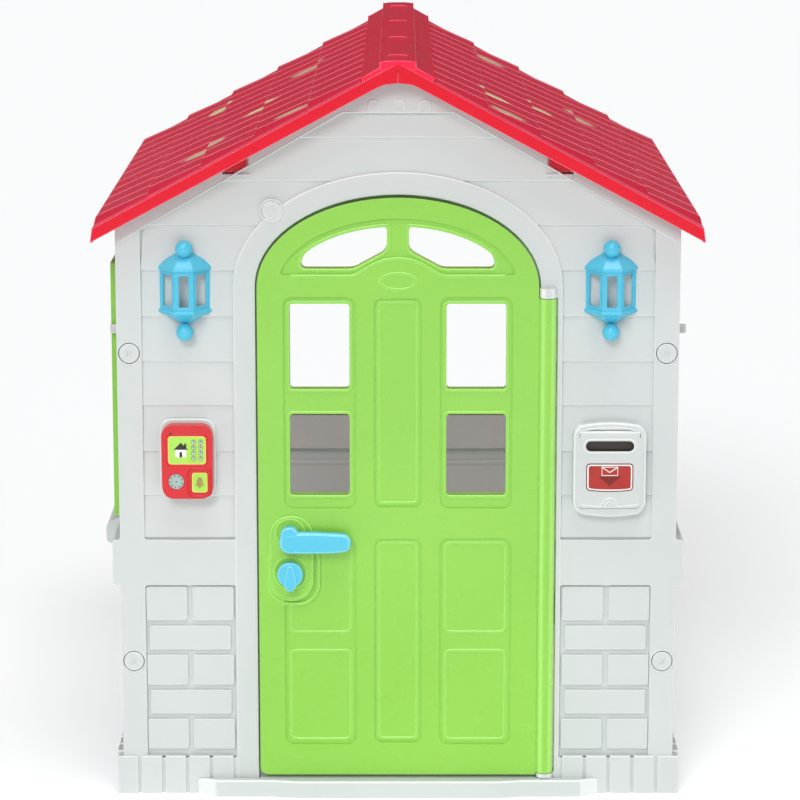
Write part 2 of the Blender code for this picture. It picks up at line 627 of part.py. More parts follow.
def lantern(name, hand, blue):
    middle = hand * LANTERN_X
    back = FITTING_BACK
    steps = ((0.010, 0.689), (0.022, 0.703), (LANTERN_R, 0.722), (LANTERN_R, 0.7265), (0.0345, 0.731),
             (0.0345, 0.793), (LANTERN_R, 0.797), (LANTERN_R, 0.801), (0.030, 0.810), (0.0135, 0.8185),
             (0.0115, 0.822))
    body = loft("XY", [(half_hexagon(middle, radius, back), level) for radius, level in steps])
    ball_z, ball_r = 0.8255, 0.0125
    rings = []
    for step in range(1, 8):
        angle = pi * step / 8
        ring = circle(middle, back - 0.0135, ball_r * sin(angle), 16)
        rings.append((ring, ball_z - ball_r * cos(angle)))
    body = unite(body, loft("XY", rings))
    hollow = loft("XY", [(half_hexagon(middle, 0.0305, back + 0.001), 0.7335),
                         (half_hexagon(middle, 0.0305, back + 0.001), 0.7905)])
    windows = [box((middle - 0.0125, middle + 0.0125), (back - 0.040, back - 0.010), (0.7375, 0.7875))]
    for turn in (-1, 1):
        side = box((-0.0095, 0.0095), (-0.012, 0.012), (0.7375, 0.7875))
        facet = atan(LANTERN_DEPTH / 0.5)
        centre = Vector((middle + turn * 0.026, back - 0.0130, 0.0))
        side.data.transform(Matrix.Translation(centre) @ Matrix.Rotation(turn * facet, 4, "Z"))
        windows.append(side)
    cut(body, hollow, *windows)
    return finish(name, body, blue)


def intercom(colours):
    """A bell unit: a case with a picture panel, a speaker, a battery bay and a push button."""
    half_w, half_h = INTERCOM_SIZE[0] / 2, INTERCOM_SIZE[1] / 2
    x, z = INTERCOM_X, INTERCOM_Z
    span_x, span_z = (x - half_w, x + half_w), (z - half_h, z + half_h)
    wall = 0.002
    back = FITTING_BACK

    button_x, button_z = (x + 0.0062, x + 0.0296), (z - 0.0461, z - 0.0156)
    speaker_x, speaker_z = x - 0.0163, z - 0.0293
    case = prism("XZ", rounded(span_x, span_z, 0.012), INTERCOM_FRONT, back)
    cavity = prism("XZ", rounded(grown(span_x, -wall), grown(span_z, -wall), 0.010), INTERCOM_FRONT + wall, back + 0.01)
    button_hole = prism("XZ", rounded(grown(button_x, 0.0005), grown(button_z, 0.0005), 0.004), -0.52, -0.49)
    speaker_hole = prism("XZ", circle(speaker_x, speaker_z, 0.0115), -0.52, -0.49)
    panel_x, panel_z = (x - 0.0280, x + 0.0276), (z - 0.0034, z + 0.0388)
    recess = prism("XZ", rounded(grown(panel_x, 0.0003), grown(panel_z, 0.0003), 0.005), -0.52, INTERCOM_FRONT + 0.0011)
    finish("intercom_case", cut(case, cavity, button_hole, speaker_hole, recess), colours["red"])

    screen = prism("XZ", rounded(panel_x, panel_z, 0.0047), INTERCOM_FRONT - 0.0004, INTERCOM_FRONT + 0.0008)
    finish("intercom_screen", screen, colours["lime"])
    grille = prism("XZ", circle(speaker_x, speaker_z, 0.0112), INTERCOM_FRONT - 0.0002, INTERCOM_FRONT + 0.0018)
    holes = []
    for index in range(8):
        angle = 2 * pi * index / 8
        holes.append(prism("XZ", circle(speaker_x + 0.0085 * cos(angle), speaker_z + 0.0085 * sin(angle), 0.0008, 8),
                           -0.52, -0.50))
    finish("speaker_grille", cut(grille, *holes), colours["grey"])
    rings = [(circle(speaker_x, speaker_z, radius, 16), level)
             for radius, level in ((0.0110, -0.5045), (0.0110, -0.5020), (0.0060, -0.4990), (0.0060, -0.4970))]
    finish("speaker", loft("XZ", rings), colours["dark"], smooth=True)
    board = prism("XZ", rectangle((x - 0.032, x + 0.032), (z - 0.050, z - 0.008)), -0.4930, -0.4914)
    finish("circuit_board", board, colours["board"])
    dome_x, dome_z = sum(button_x) / 2, sum(button_z) / 2
    dome = loft("XZ", [(circle(dome_x, dome_z, 0.0030, 12), -0.4958), (circle(dome_x, dome_z, 0.0050, 12), -0.4933)])
    finish("button_dome", dome, colours["dark"])
    cap = prism("XZ", rounded(button_x, button_z, 0.0035), -0.5062, -0.5000)
    stem = prism("XZ", circle(dome_x, dome_z, 0.0030, 12), -0.5010, -0.4990)
    middle = ((button_x[0] + button_x[1]) / 2, -0.5062, (button_z[0] + button_z[1]) / 2)
    finish("bell_button", unite(cap, stem), colours["lime"], pivot=middle)

    for name, offset in (("battery_left", -0.0120), ("battery_right", 0.0120)):
        rings = [(circle(x + offset, -0.4918, radius, 16), z + level)
                 for radius, level in ((0.0052, 0.0060), (0.0052, 0.0480), (0.0019, 0.0480), (0.0019, 0.0490))]
        finish(name, loft("XY", rings), colours["steel"], smooth=True)
    bay_x, bay_z = (x - 0.0200, x + 0.0200), (z + 0.0040, z + 0.0510)
    plate = prism("XZ", rounded(grown(span_x, -wall - GAP), grown(span_z, -wall - GAP), 0.0095), back - 0.0020, back)
    bay = prism("XZ", rectangle(bay_x, bay_z), back - 0.01, back + 0.01)
    finish("intercom_back", cut(plate, bay), colours["red"])
    cover = prism("XZ", rectangle(grown(bay_x, -GAP), grown(bay_z, -GAP)), back - 0.0016, back)
    finish("battery_cover", cover, colours["grey"])


def mailbox(colours):
    """A letter box through the wall: a case, a slotted door hinged at its top and a label."""
    half_w, half_h = MAILBOX_SIZE[0] / 2, MAILBOX_SIZE[1] / 2
    x, z = MAILBOX_X, MAILBOX_Z
    span_x, span_z = (x - half_w, x + half_w), (z - half_h, z + half_h)
    flange = prism("XZ", rounded(span_x, span_z, 0.014), MAILBOX_FRONT, FITTING_BACK)
    body = box((x - 0.047, x + 0.047), (FITTING_BACK - 0.004, -0.4400), (z - 0.061, z + 0.061))
    inside = box((x - 0.045, x + 0.045), (MAILBOX_FRONT - 0.01, -0.4420), (z - 0.059, z + 0.0595))
    hinge = (MAILBOX_HINGE_Y, MAILBOX_HINGE_Z)
    pin_hole = prism("YZ", circle(*hinge, 0.0018, 12), x - 0.0490, x + 0.0490)
    case = cut(unite(flange, body), inside, pin_hole)
    finish("mailbox_case", case, colours["white"])

    leaf_x, leaf_z = (x - 0.0440, x + 0.0440), (z - 0.0575, MAILBOX_HINGE_Z)
    leaf = prism("XZ", rounded(leaf_x, leaf_z, 0.006), MAILBOX_FRONT - 0.0010, MAILBOX_FRONT + 0.0030)
    barrel = prism("YZ", circle(*hinge, 0.0045, 20), *leaf_x)
    tab = prism("XZ", circle(x, z - 0.0535, 0.0080, 16), MAILBOX_FRONT - 0.0030, MAILBOX_FRONT + 0.0020)
    leaf = unite(leaf, barrel, tab)
    slot = prism("XZ", rounded((x - 0.0355, x + 0.0355), (z + 0.0275, z + 0.0435), 0.0078, 5), -0.52, -0.49)
    bore = prism("YZ", circle(*hinge, 0.0018, 12), x - 0.06, x + 0.06)
    lap = prism("XZ", rectangle((x - 0.0600, x + 0.0600), (z - 0.0700, z - 0.0578)), -0.52, -0.49)
    pocket = prism("XZ", rounded((x - 0.0348, x + 0.0348), (z - 0.0328, z + 0.0103), 0.006), -0.52, MAILBOX_FRONT)
    cut(leaf, slot, bore, lap, pocket)
    pivot = (x, *hinge)
    finish("mailbox_door", leaf, colours["white"], pivot=pivot)
    label = prism("XZ", rounded((x - 0.0345, x + 0.0345), (z - 0.0325, z + 0.0100), 0.0057),
                  MAILBOX_FRONT - 0.0012, MAILBOX_FRONT - GAP)
    finish("mailbox_label", label, colours["red"], pivot=pivot)
    pin = prism("YZ", circle(*hinge, 0.0015, 12), x - 0.0485, x + 0.0485)
    finish("mailbox_hinge_pin", pin, colours["steel"], smooth=True)


def corner_screws(white):
    """Big-headed plastic screws that hold the front and back walls to the side walls."""
    for end, end_name in ((-1, "front"), (1, "back")):
        for hand, hand_name in ((-1, "left"), (1, "right")):
            for level, height in SCREW_Z.items():
                head = prism("XZ", circle(hand * SCREW_X, height, SCREW_HEAD_R),
                             *sorted((end * (WALL_Y - 0.0045), end * (WALL_Y + 0.0010))))
                shank = prism("XZ", circle(hand * SCREW_X, height, SHAFT_R - 0.0010, 12),
                              *sorted((end * (WALL_Y - 0.004), end * 0.4470)))
                finish(f"corner_screw_{end_name}_{hand_name}_{level}", unite(head, shank), white, smooth=True)


def main():
    clear_scene()
    white = plastic("white_plastic", "dde2e2", 0.42)
    red = plastic("red_plastic", "d8203f", 0.32)
    green = plastic("green_plastic", "94d34a", 0.34)
    blue = plastic("blue_plastic", "56c8e6", 0.32)
    steel = plastic("zinc_steel", "b9bcc0", 0.35, 1.0)
    dark = plastic("dark_plastic", "3a3d40", 0.5)
    colours = {"white": white, "red": red, "steel": steel, "dark": dark,
               "lime": plastic("lime_label", "a8dc55", 0.4),
               "grey": plastic("grey_plastic", "9fb8b0", 0.5),
               "board": plastic("board_green", "2f6b46", 0.5)}

    front_wall(white)
    back_wall(white)
    side_wall("left_wall", -1, white)
    side_wall("right_wall", 1, white)
    door_threshold(white)
    window_ledge(white)
    roof_half("roof_left", -1, red)
    roof_half("roof_right", 1, red)
    ridge_cap(red)
    door_panel(green)
    door_pins(steel)
    door_furniture(blue, dark)
    for hand, hand_name in ((-1, "left"), (1, "right")):
        for end, end_name in ((-1, "front"), (1, "rear")):
            shutter(f"shutter_{hand_name}_{end_name}", hand, end, hand < 0, green)
            shutter_catch(f"shutter_catch_{hand_name}_{end_name}", hand, end, white)
        lantern(f"lantern_{hand_name}", hand, blue)
    intercom(colours)
    mailbox(colours)
    plug = prism("XZ", circle(PLUG_X, PLUG_Z, PLUG_R), -0.4885, -0.4833)
    finish("arch_plug", plug, white)
    corner_screws(white)


main()
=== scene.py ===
import json
from math import cos, degrees, pi, radians, sin, sqrt

import bmesh
import bpy
from mathutils import Matrix, Vector


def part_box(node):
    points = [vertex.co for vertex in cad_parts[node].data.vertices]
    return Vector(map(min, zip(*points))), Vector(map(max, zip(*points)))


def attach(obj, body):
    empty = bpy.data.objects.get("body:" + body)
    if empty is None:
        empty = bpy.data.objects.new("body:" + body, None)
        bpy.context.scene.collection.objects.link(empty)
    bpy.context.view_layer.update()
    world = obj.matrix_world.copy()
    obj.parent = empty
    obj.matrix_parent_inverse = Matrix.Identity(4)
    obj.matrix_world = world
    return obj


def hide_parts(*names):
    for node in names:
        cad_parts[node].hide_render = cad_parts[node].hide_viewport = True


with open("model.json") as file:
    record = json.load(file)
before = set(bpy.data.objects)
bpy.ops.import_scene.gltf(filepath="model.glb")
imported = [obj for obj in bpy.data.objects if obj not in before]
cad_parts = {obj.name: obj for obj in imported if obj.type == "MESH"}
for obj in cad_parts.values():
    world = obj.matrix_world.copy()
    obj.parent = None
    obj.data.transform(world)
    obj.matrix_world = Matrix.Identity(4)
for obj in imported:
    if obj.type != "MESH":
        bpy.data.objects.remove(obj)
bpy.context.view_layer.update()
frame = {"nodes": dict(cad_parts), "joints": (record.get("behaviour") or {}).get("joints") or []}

nodes = frame["nodes"]


# Small tools: nodes, meshes, outlines

def linearColour(hexText):
    def channel(value):
        return value / 12.92 if value <= 0.04045 else ((value + 0.055) / 1.055) ** 2.4
    return tuple(channel(int(hexText[i:i + 2], 16) / 255) for i in (0, 2, 4)) + (1.0,)


def addNode(tree, kind, links=None, values=None, **settings):
    node = tree.nodes.new(kind)
    for name, value in settings.items():
        setattr(node, name, value)
    for socket, value in (values or {}).items():
        node.inputs[socket].default_value = value
    for socket, source in (links or {}).items():
        tree.links.new(source, node.inputs[socket])
    return node


def meshObject(name, shape):
    mesh = bpy.data.meshes.new(name)
    shape.to_mesh(mesh)
    shape.free()
    made = bpy.data.objects.new(name, mesh)
    bpy.context.scene.collection.objects.link(made)
    return made


def evaluatedMesh(holder):
    graph = bpy.context.evaluated_depsgraph_get()
    return bpy.data.meshes.new_from_object(holder.evaluated_get(graph))


def dropObject(holder):
    mesh = holder.data
    bpy.data.objects.remove(holder)
    if mesh.users == 0:
        bpy.data.meshes.remove(mesh)


def middleOf(node, axes="xz"):
    low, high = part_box(node)
    return tuple((getattr(low, axis) + getattr(high, axis)) / 2 for axis in axes)


def place(plane, u, v, w):
    # a point drawn on the front, side or plan view, at a depth w
    if plane == "front":
        return Vector((u, w, v))
    if plane == "side":
        return Vector((w, u, v))
    return Vector((u, v, w))


def prism(plane, outline, low, high, holes=()):
    # an outline with holes, drawn between two depths
    part = bmesh.new()
    if holes:
        edges = []
        for loop in (outline, *holes):
            verts = [part.verts.new(place(plane, u, v, low)) for u, v in loop]
            for index, vert in enumerate(verts):
                edges.append(part.edges.new((vert, verts[index - 1])))
        bmesh.ops.triangle_fill(part, use_beauty=True, use_dissolve=False, edges=edges)
    else:
        part.faces.new([part.verts.new(place(plane, u, v, low)) for u, v in outline])
    drawn = bmesh.ops.extrude_face_region(part, geom=part.faces[:])
    moved = [item for item in drawn["geom"] if isinstance(item, bmesh.types.BMVert)]
    bmesh.ops.translate(part, verts=moved, vec=place(plane, 0, 0, high - low))
    bmesh.ops.recalc_face_normals(part, faces=part.faces)
    return part


def loft(plane, rings):
    # a closed skin through outlines at rising levels
    part = bmesh.new()
    loops = []
    for points, level in rings:
        loops.append([part.verts.new(place(plane, u, v, level)) for u, v in points])
    for lower, upper in zip(loops, loops[1:]):
        for index in range(len(lower)):
            part.faces.new((lower[index - 1], lower[index], upper[index], upper[index - 1]))
    part.faces.new(loops[0])
    part.faces.new(loops[-1])
    bmesh.ops.recalc_face_normals(part, faces=part.faces)
    return part


def soften(part, width, steps=3, test=None, over=25):
    # rounds the edges that turn by more than an angle and pass the test
    edges = [edge for edge in part.edges
             if len(edge.link_faces) == 2 and edge.calc_face_angle(0) > radians(over)
             and (test is None or test(edge))]
    bmesh.ops.bevel(part, geom=edges, offset=width, offset_type="OFFSET", profile_type="SUPERELLIPSE",
                    segments=steps, profile=0.5, affect="EDGES", clamp_overlap=True)
    return part


def notAt(plane, level):
    # for soften: leaves alone the edges that lie at a level, such as a hidden back
    def test(edge):
        depth = [vert.co["xyz".index({"front": "y", "side": "x", "plan": "z"}[plane])] for vert in edge.verts]
        return any(abs(value - level) > 1e-5 for value in depth)
    return test


def atFront(level):
    # for soften: only the edges that lie at one depth
    return lambda edge: all(abs(vert.co.y - level) < 1e-6 for vert in edge.verts)


def add(target, part, turn=None):
    # puts a part into a piece, turned if a matrix is given; a mirror turns its faces back outwards
    if turn is not None:
        bmesh.ops.transform(part, matrix=turn, verts=part.verts)
        if turn.determinant() < 0:
            bmesh.ops.reverse_faces(part, faces=part.faces)
    mesh = bpy.data.meshes.new("part")
    part.to_mesh(mesh)
    part.free()
    target.from_mesh(mesh)
    bpy.data.meshes.remove(mesh)
    return target


def rounded(u, v, radius, steps=5):
    corners = ((u[1], v[0], -90), (u[1], v[1], 0), (u[0], v[1], 90), (u[0], v[0], 180))
    points = []
    for cornerU, cornerV, start in corners:
        centreU = cornerU - radius if cornerU == u[1] else cornerU + radius
        centreV = cornerV - radius if cornerV == v[1] else cornerV + radius
        for step in range(steps + 1):
            angle = radians(start + 90 * step / steps)
            points.append((centreU + radius * cos(angle), centreV + radius * sin(angle)))
    return points


def rectangle(u, v):
    return [(u[0], v[0]), (u[1], v[0]), (u[1], v[1]), (u[0], v[1])]


def grown(span, by):
    return span[0] - by, span[1] + by


def handed(span, hand):
    return tuple(sorted((hand * span[0], hand * span[1])))


def ellipse(u, v, radiusU, radiusV=None, count=32, start=0.0, end=360.0):
    radiusV = radiusU if radiusV is None else radiusV
    last = count if end - start >= 360 else count - 1
    angles = [radians(start + (end - start) * i / last) for i in range(count)]
    return [(u + radiusU * cos(a), v + radiusV * sin(a)) for a in angles]


def mirrored(points):
    return [(-u, v) for u, v in points]


def between(start, end, share):
    return start + (end - start) * share


def smoothLoop(points, steps=4):
    # a Catmull-Rom curve through a closed loop of points
    made = []
    count = len(points)
    for index in range(count):
        corners = [points[(index + k - 1) % count] for k in range(4)]
        for step in range(steps):
            t = step / steps
            made.append(tuple(
                0.5 * (2 * b + (c - a) * t + (2 * a - 5 * b + 4 * c - d) * t * t
                       + (3 * b - a - 3 * c + d) * t ** 3)
                for a, b, c, d in zip(*corners)))
    return made


# Geometry Nodes trees for what repeats and for what follows a line

def newTree(name, sockets):
    tree = bpy.data.node_groups.new(name, "GeometryNodeTree")
    tree.interface.new_socket("Geometry", in_out="INPUT", socket_type="NodeSocketGeometry")
    for label, kind, value in sockets:
        socket = tree.interface.new_socket(label, in_out="INPUT", socket_type=kind)
        if value is not None:
            socket.default_value = value
    tree.interface.new_socket("Finish", in_out="INPUT", socket_type="NodeSocketMaterial")
    tree.interface.new_socket("Geometry", in_out="OUTPUT", socket_type="NodeSocketGeometry")
    return tree, addNode(tree, "NodeGroupInput")


def closeTree(tree, start, source):
    real = addNode(tree, "GeometryNodeRealizeInstances", {"Geometry": source})
    finish = addNode(tree, "GeometryNodeSetMaterial",
                     {"Geometry": real.outputs["Geometry"], "Material": start.outputs["Finish"]})
    addNode(tree, "NodeGroupOutput", {"Geometry": finish.outputs["Geometry"]})
    return tree


def rowTree():
    # copies the shape along one step, then that row along another: boards, bricks, tiles, planks, screws
    tree, start = newTree("repeatInRows", [
        ("Columns", "NodeSocketInt", 1), ("Column Step", "NodeSocketVector", (0, 0, 0)),
        ("Rows", "NodeSocketInt", 1), ("Row Step", "NodeSocketVector", (0, 0, 0))])
    shape = start.outputs["Geometry"]
    for count, step in (("Columns", "Column Step"), ("Rows", "Row Step")):
        line = addNode(tree, "GeometryNodeMeshLine",
                       {"Count": start.outputs[count], "Offset": start.outputs[step]}, mode="OFFSET")
        copies = addNode(tree, "GeometryNodeInstanceOnPoints",
                         {"Points": line.outputs["Mesh"], "Instance": shape})
        shape = copies.outputs["Instances"]
    return closeTree(tree, start, shape)


def ringTree():
    # copies the shape round a circle that faces the front: speaker holes
    tree, start = newTree("repeatInRing", [
        ("Count", "NodeSocketInt", 8), ("Radius", "NodeSocketFloat", 0.01),
        ("Centre", "NodeSocketVector", (0, 0, 0)), ("First Angle", "NodeSocketFloat", 0.0)])
    circle = addNode(tree, "GeometryNodeMeshCircle",
                     {"Vertices": start.outputs["Count"], "Radius": start.outputs["Radius"]})
    spin = addNode(tree, "ShaderNodeCombineXYZ", {"Z": start.outputs["First Angle"]})
    turned = addNode(tree, "GeometryNodeTransform",
                     {"Geometry": circle.outputs["Mesh"], "Rotation": spin.outputs["Vector"]})
    upright = addNode(tree, "GeometryNodeTransform",
                      {"Geometry": turned.outputs["Geometry"], "Translation": start.outputs["Centre"]},
                      {"Rotation": (pi / 2, 0, 0)})
    copies = addNode(tree, "GeometryNodeInstanceOnPoints",
                     {"Points": upright.outputs["Geometry"], "Instance": start.outputs["Geometry"]})
    return closeTree(tree, start, copies.outputs["Instances"])


def beadTree():
    # a round bead along every line of the shape: mouldings, lips and rings
    tree, start = newTree("beadAlongLines", [
        ("Radius", "NodeSocketFloat", 0.0015), ("Sides", "NodeSocketInt", 10)])
    curve = addNode(tree, "GeometryNodeMeshToCurve", {"Mesh": start.outputs["Geometry"]})
    section = addNode(tree, "GeometryNodeCurvePrimitiveCircle",
                      {"Resolution": start.outputs["Sides"], "Radius": start.outputs["Radius"]})
    swept = addNode(tree, "GeometryNodeCurveToMesh",
                    {"Curve": curve.outputs["Curve"], "Profile Curve": section.outputs["Curve"]},
                    {"Fill Caps": True})
    return closeTree(tree, start, swept.outputs["Mesh"])


trees = {"rows": rowTree(), "ring": ringTree(), "bead": beadTree()}


def runTree(part, treeName, values, finish=None):
    # runs one tree on a drawn part and gives the result back as a plain mesh in a bmesh
    holder = meshObject("treeHolder", part)
    modifier = holder.modifiers.new(treeName, "NODES")
    modifier.node_group = trees[treeName]
    for item in trees[treeName].interface.items_tree:
        if item.item_type == "SOCKET" and item.in_out == "INPUT":
            if item.name in values:
                modifier[item.identifier] = values[item.name]
            if item.name == "Finish" and finish is not None:
                modifier[item.identifier] = finish
    mesh = evaluatedMesh(holder)
    holder.modifiers.remove(modifier)
    dropObject(holder)
    made = bmesh.new()
    made.from_mesh(mesh)
    bpy.data.meshes.remove(mesh)
    return made


def rowsOf(part, columns, columnStep, rows=1, rowStep=(0.0, 0.0, 0.0)):
    return runTree(part, "rows", {"Columns": columns, "Column Step": columnStep, "Rows": rows,
                                  "Row Step": rowStep})


def beads(plane, level, lines, radius, closed=True, sides=10):
    part = bmesh.new()
    for line in lines:
        verts = [part.verts.new(place(plane, u, v, level)) for u, v in line]
        for first, second in zip(verts, verts[1:]):
            part.edges.new((first, second))
        if closed:
            part.edges.new((verts[-1], verts[0]))
    made = runTree(part, "bead", {"Radius": radius, "Sides": sides})
    bmesh.ops.recalc_face_normals(made, faces=made.faces)
    return made


def finishPiece(name, shape, finish, body, replaced=(), sharp=38):
    # one named piece with one finish: rides a body and replaces CAD nodes
    mesh = bpy.data.meshes.new(name)
    shape.to_mesh(mesh)
    shape.free()
    mesh.materials.clear()
    mesh.materials.append(finish)
    mesh.polygons.foreach_set("material_index", [0] * len(mesh.polygons))
    mesh.shade_smooth()
    mesh.set_sharp_from_angle(angle=radians(sharp))
    piece = bpy.data.objects.new(name, mesh)
    bpy.context.scene.collection.objects.link(piece)
    weights = piece.modifiers.new("faceWeights", "WEIGHTED_NORMAL")
    weights.keep_sharp = True
    flat = evaluatedMesh(piece)
    piece.modifiers.clear()
    piece.data = flat
    flat.name = name
    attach(piece, body)
    if replaced:
        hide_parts(*replaced)
    return piece


def whitePiece(name, shape, *replaced):
    return finishPiece(name, shape, finishes["white"], "house", replaced)


# Finishes. Every plastic is moulded polypropylene or ABS: an even colour with a slow drift in shade, a fine
# spark-eroded grain, and a gloss that varies a little where the mould is more polished

def blankFinish(name):
    made = bpy.data.materials.new(name)
    made.use_nodes = True
    tree = made.node_tree
    tree.nodes.clear()
    shader = addNode(tree, "ShaderNodeBsdfPrincipled")
    addNode(tree, "ShaderNodeOutputMaterial", {"Surface": shader.outputs["BSDF"]})
    where = addNode(tree, "ShaderNodeTexCoord").outputs["Object"]
    return made, tree, shader, where


def mixColours(tree, factor, first, second):
    layer = addNode(tree, "ShaderNodeMix", {"Factor": factor}, data_type="RGBA")
    for socket, source in zip([socket for socket in layer.inputs if socket.type == "RGBA"], (first, second)):
        if isinstance(source, bpy.types.NodeSocket):
            tree.links.new(source, socket)
        else:
            socket.default_value = source
    return [socket for socket in layer.outputs if socket.type == "RGBA"][0]


def paintedLightMask(tree, edgeRange):
    # how far the surface turns from the way its flats face: a mask for painted light, used for a paler
    # painted highlight on rounded mould edges and for painted shade on roof faces that look square along an
    # axis
    facing = addNode(tree, "ShaderNodeTexCoord").outputs["Normal"]
    size = addNode(tree, "ShaderNodeVectorMath", {0: facing}, operation="ABSOLUTE")
    parts = addNode(tree, "ShaderNodeSeparateXYZ", {"Vector": size.outputs["Vector"]})
    # a sloping roof: only the turn along the ridge counts, full ends stay plain
    if edgeRange["axes"] == "Y":
        most = parts.outputs["Y"]
    else:
        most = parts.outputs["X"]
        for axis in "YZ":
            most = addNode(tree, "ShaderNodeMath", {0: most, 1: parts.outputs[axis]},
                           operation="MAXIMUM").outputs["Value"]
    share = addNode(tree, "ShaderNodeMapRange", {"Value": most},
                    {"From Min": edgeRange["plain"], "From Max": edgeRange["full"],
                     "To Max": edgeRange["share"]})
    if edgeRange["axes"] != "Y":
        return share.outputs["Result"]
    ends = addNode(tree, "ShaderNodeMapRange", {"Value": most}, {"From Min": 0.99, "From Max": 0.93})
    return addNode(tree, "ShaderNodeMath", {0: share.outputs["Result"], 1: ends.outputs["Result"]},
                   operation="MULTIPLY").outputs["Value"]


def mouldedPlastic(name, look):
    made, tree, shader, where = blankFinish(name)
    drift = addNode(tree, "ShaderNodeTexNoise", {"Vector": where},
                    {"Scale": 1 / look["driftSize"], "Detail": 2.0, "Roughness": 0.5})
    share = addNode(tree, "ShaderNodeMapRange", {"Value": drift.outputs["Fac"]},
                    {"From Min": 0.35, "From Max": 0.65})
    mixed = mixColours(tree, share.outputs["Result"], linearColour(look["shade"]), linearColour(look["tint"]))
    # painted highlight: where the surface turns from facing an axis, on rounded edges and beads, the colour
    # is mixed towards a paler one
    if "edge" in look:
        mixed = mixColours(tree, paintedLightMask(tree, look["edgeRange"]), mixed, linearColour(look["edge"]))
    tree.links.new(mixed, shader.inputs["Base Color"])
    polish = addNode(tree, "ShaderNodeTexNoise", {"Vector": where},
                     {"Scale": 1 / look["polishSize"], "Detail": 3.0})
    gloss = addNode(tree, "ShaderNodeMapRange", {"Value": polish.outputs["Fac"]},
                    {"From Min": 0.3, "From Max": 0.7, "To Min": look["rough"][0],
                     "To Max": look["rough"][1]})
    tree.links.new(gloss.outputs["Result"], shader.inputs["Roughness"])
    grain = addNode(tree, "ShaderNodeTexNoise", {"Vector": where},
                    {"Scale": 1 / look["grainSize"], "Detail": 2.0})
    relief = addNode(tree, "ShaderNodeBump", {"Height": grain.outputs["Fac"]},
                     {"Strength": look["grainStrength"], "Distance": look["grainDepth"]})
    tree.links.new(relief.outputs["Normal"], shader.inputs["Normal"])
    shader.inputs["IOR"].default_value = look.get("ior", 1.49)
    shader.inputs["Metallic"].default_value = look.get("metallic", 0.0)
    return made, tree, shader, where, mixed


# grain of 0.4 mm would be too fine to show, so it is drawn at 1.5 mm
satin = {"driftSize": 0.30, "polishSize": 0.045, "rough": (0.36, 0.48), "grainSize": 0.0015,
         "grainStrength": 0.12, "grainDepth": 0.00008}
glossy = {"driftSize": 0.25, "polishSize": 0.06, "rough": (0.24, 0.32), "grainSize": 0.0018,
          "grainStrength": 0.08, "grainDepth": 0.00006}

# where the paler painted highlight on a rounded edge starts, by how squarely the surface faces an axis, and
# how far it goes
squareEdges = {"axes": "XYZ", "plain": 0.985, "full": 0.86, "share": 0.75}
ribEdges = {"axes": "Y", "plain": 0.12, "full": 0.45, "share": 0.9}

# printed weathered marks: middle (x, y) on the roof, half length down the slope, half width
roofPatches = {
    "left": [(-0.147, 0.135, 0.034, 0.034), (-0.213, -0.098, 0.036, 0.030), (-0.296, 0.275, 0.026, 0.050),
             (-0.153, -0.425, 0.034, 0.022), (-0.290, -0.300, 0.042, 0.038)],
    "right": [(0.153, 0.322, 0.032, 0.040), (0.144, -0.265, 0.030, 0.028), (0.160, -0.425, 0.034, 0.026),
              (0.220, -0.078, 0.026, 0.026), (0.294, 0.130, 0.032, 0.034)],
    "colour": "f7dcae", "edge": "f08a8a", "raggedness": 0.45, "raggedSize": 0.02}


def roofFinish(look):
    # semi-gloss polypropylene with pale marks printed on it; their edges are ragged and pinkish
    made, tree, shader, where, base = mouldedPlastic("redMouldedPolypropylene", look)
    ragged = addNode(tree, "ShaderNodeTexNoise", {"Vector": where},
                     {"Scale": 1 / roofPatches["raggedSize"], "Detail": 3.0, "Roughness": 0.6})
    shift = addNode(tree, "ShaderNodeMath", {0: ragged.outputs["Fac"]}, {1: roofPatches["raggedness"]},
                    operation="MULTIPLY")
    nearest = None
    for x, y, halfLength, halfWidth in roofPatches["left"] + roofPatches["right"]:
        away = addNode(tree, "ShaderNodeVectorMath", {0: where}, {1: (x, y, 0.0)}, operation="SUBTRACT")
        scaled = addNode(tree, "ShaderNodeVectorMath", {0: away.outputs["Vector"]},
                         {1: (1 / halfLength, 1 / halfWidth, 0.0)}, operation="MULTIPLY")
        length = addNode(tree, "ShaderNodeVectorMath", {0: scaled.outputs["Vector"]}, operation="LENGTH")
        if nearest is None:
            nearest = length.outputs["Value"]
        else:
            nearest = addNode(tree, "ShaderNodeMath", {0: nearest, 1: length.outputs["Value"]},
                              operation="MINIMUM").outputs["Value"]
    reach = addNode(tree, "ShaderNodeMath", {0: nearest, 1: shift.outputs["Value"]}, operation="ADD")
    current = base
    for colour, inner, outer in ((roofPatches["edge"], 0.98, 1.14), (roofPatches["colour"], 0.86, 0.98)):
        mask = addNode(tree, "ShaderNodeMapRange", {"Value": reach.outputs["Value"]},
                       {"From Min": inner, "From Max": outer, "To Min": 1.0, "To Max": 0.0})
        current = mixColours(tree, mask.outputs["Result"], current, linearColour(colour))
    # painted shade: faces that look squarely along an axis, such as the fascias, lugs and groove walls, are
    # mixed to a deeper red
    upright = paintedLightMask(tree, {"axes": "XYZ", "plain": 0.95, "full": 0.99, "share": 1.0})
    current = mixColours(tree, upright, current, linearColour(look["endPaintedShade"]))    # end faces and grooves
    tree.links.new(current, shader.inputs["Base Color"])
    return made


def plain(name, shade, tint, base, **changes):
    return mouldedPlastic(name, {**base, "shade": shade, "tint": tint, **changes})[0]


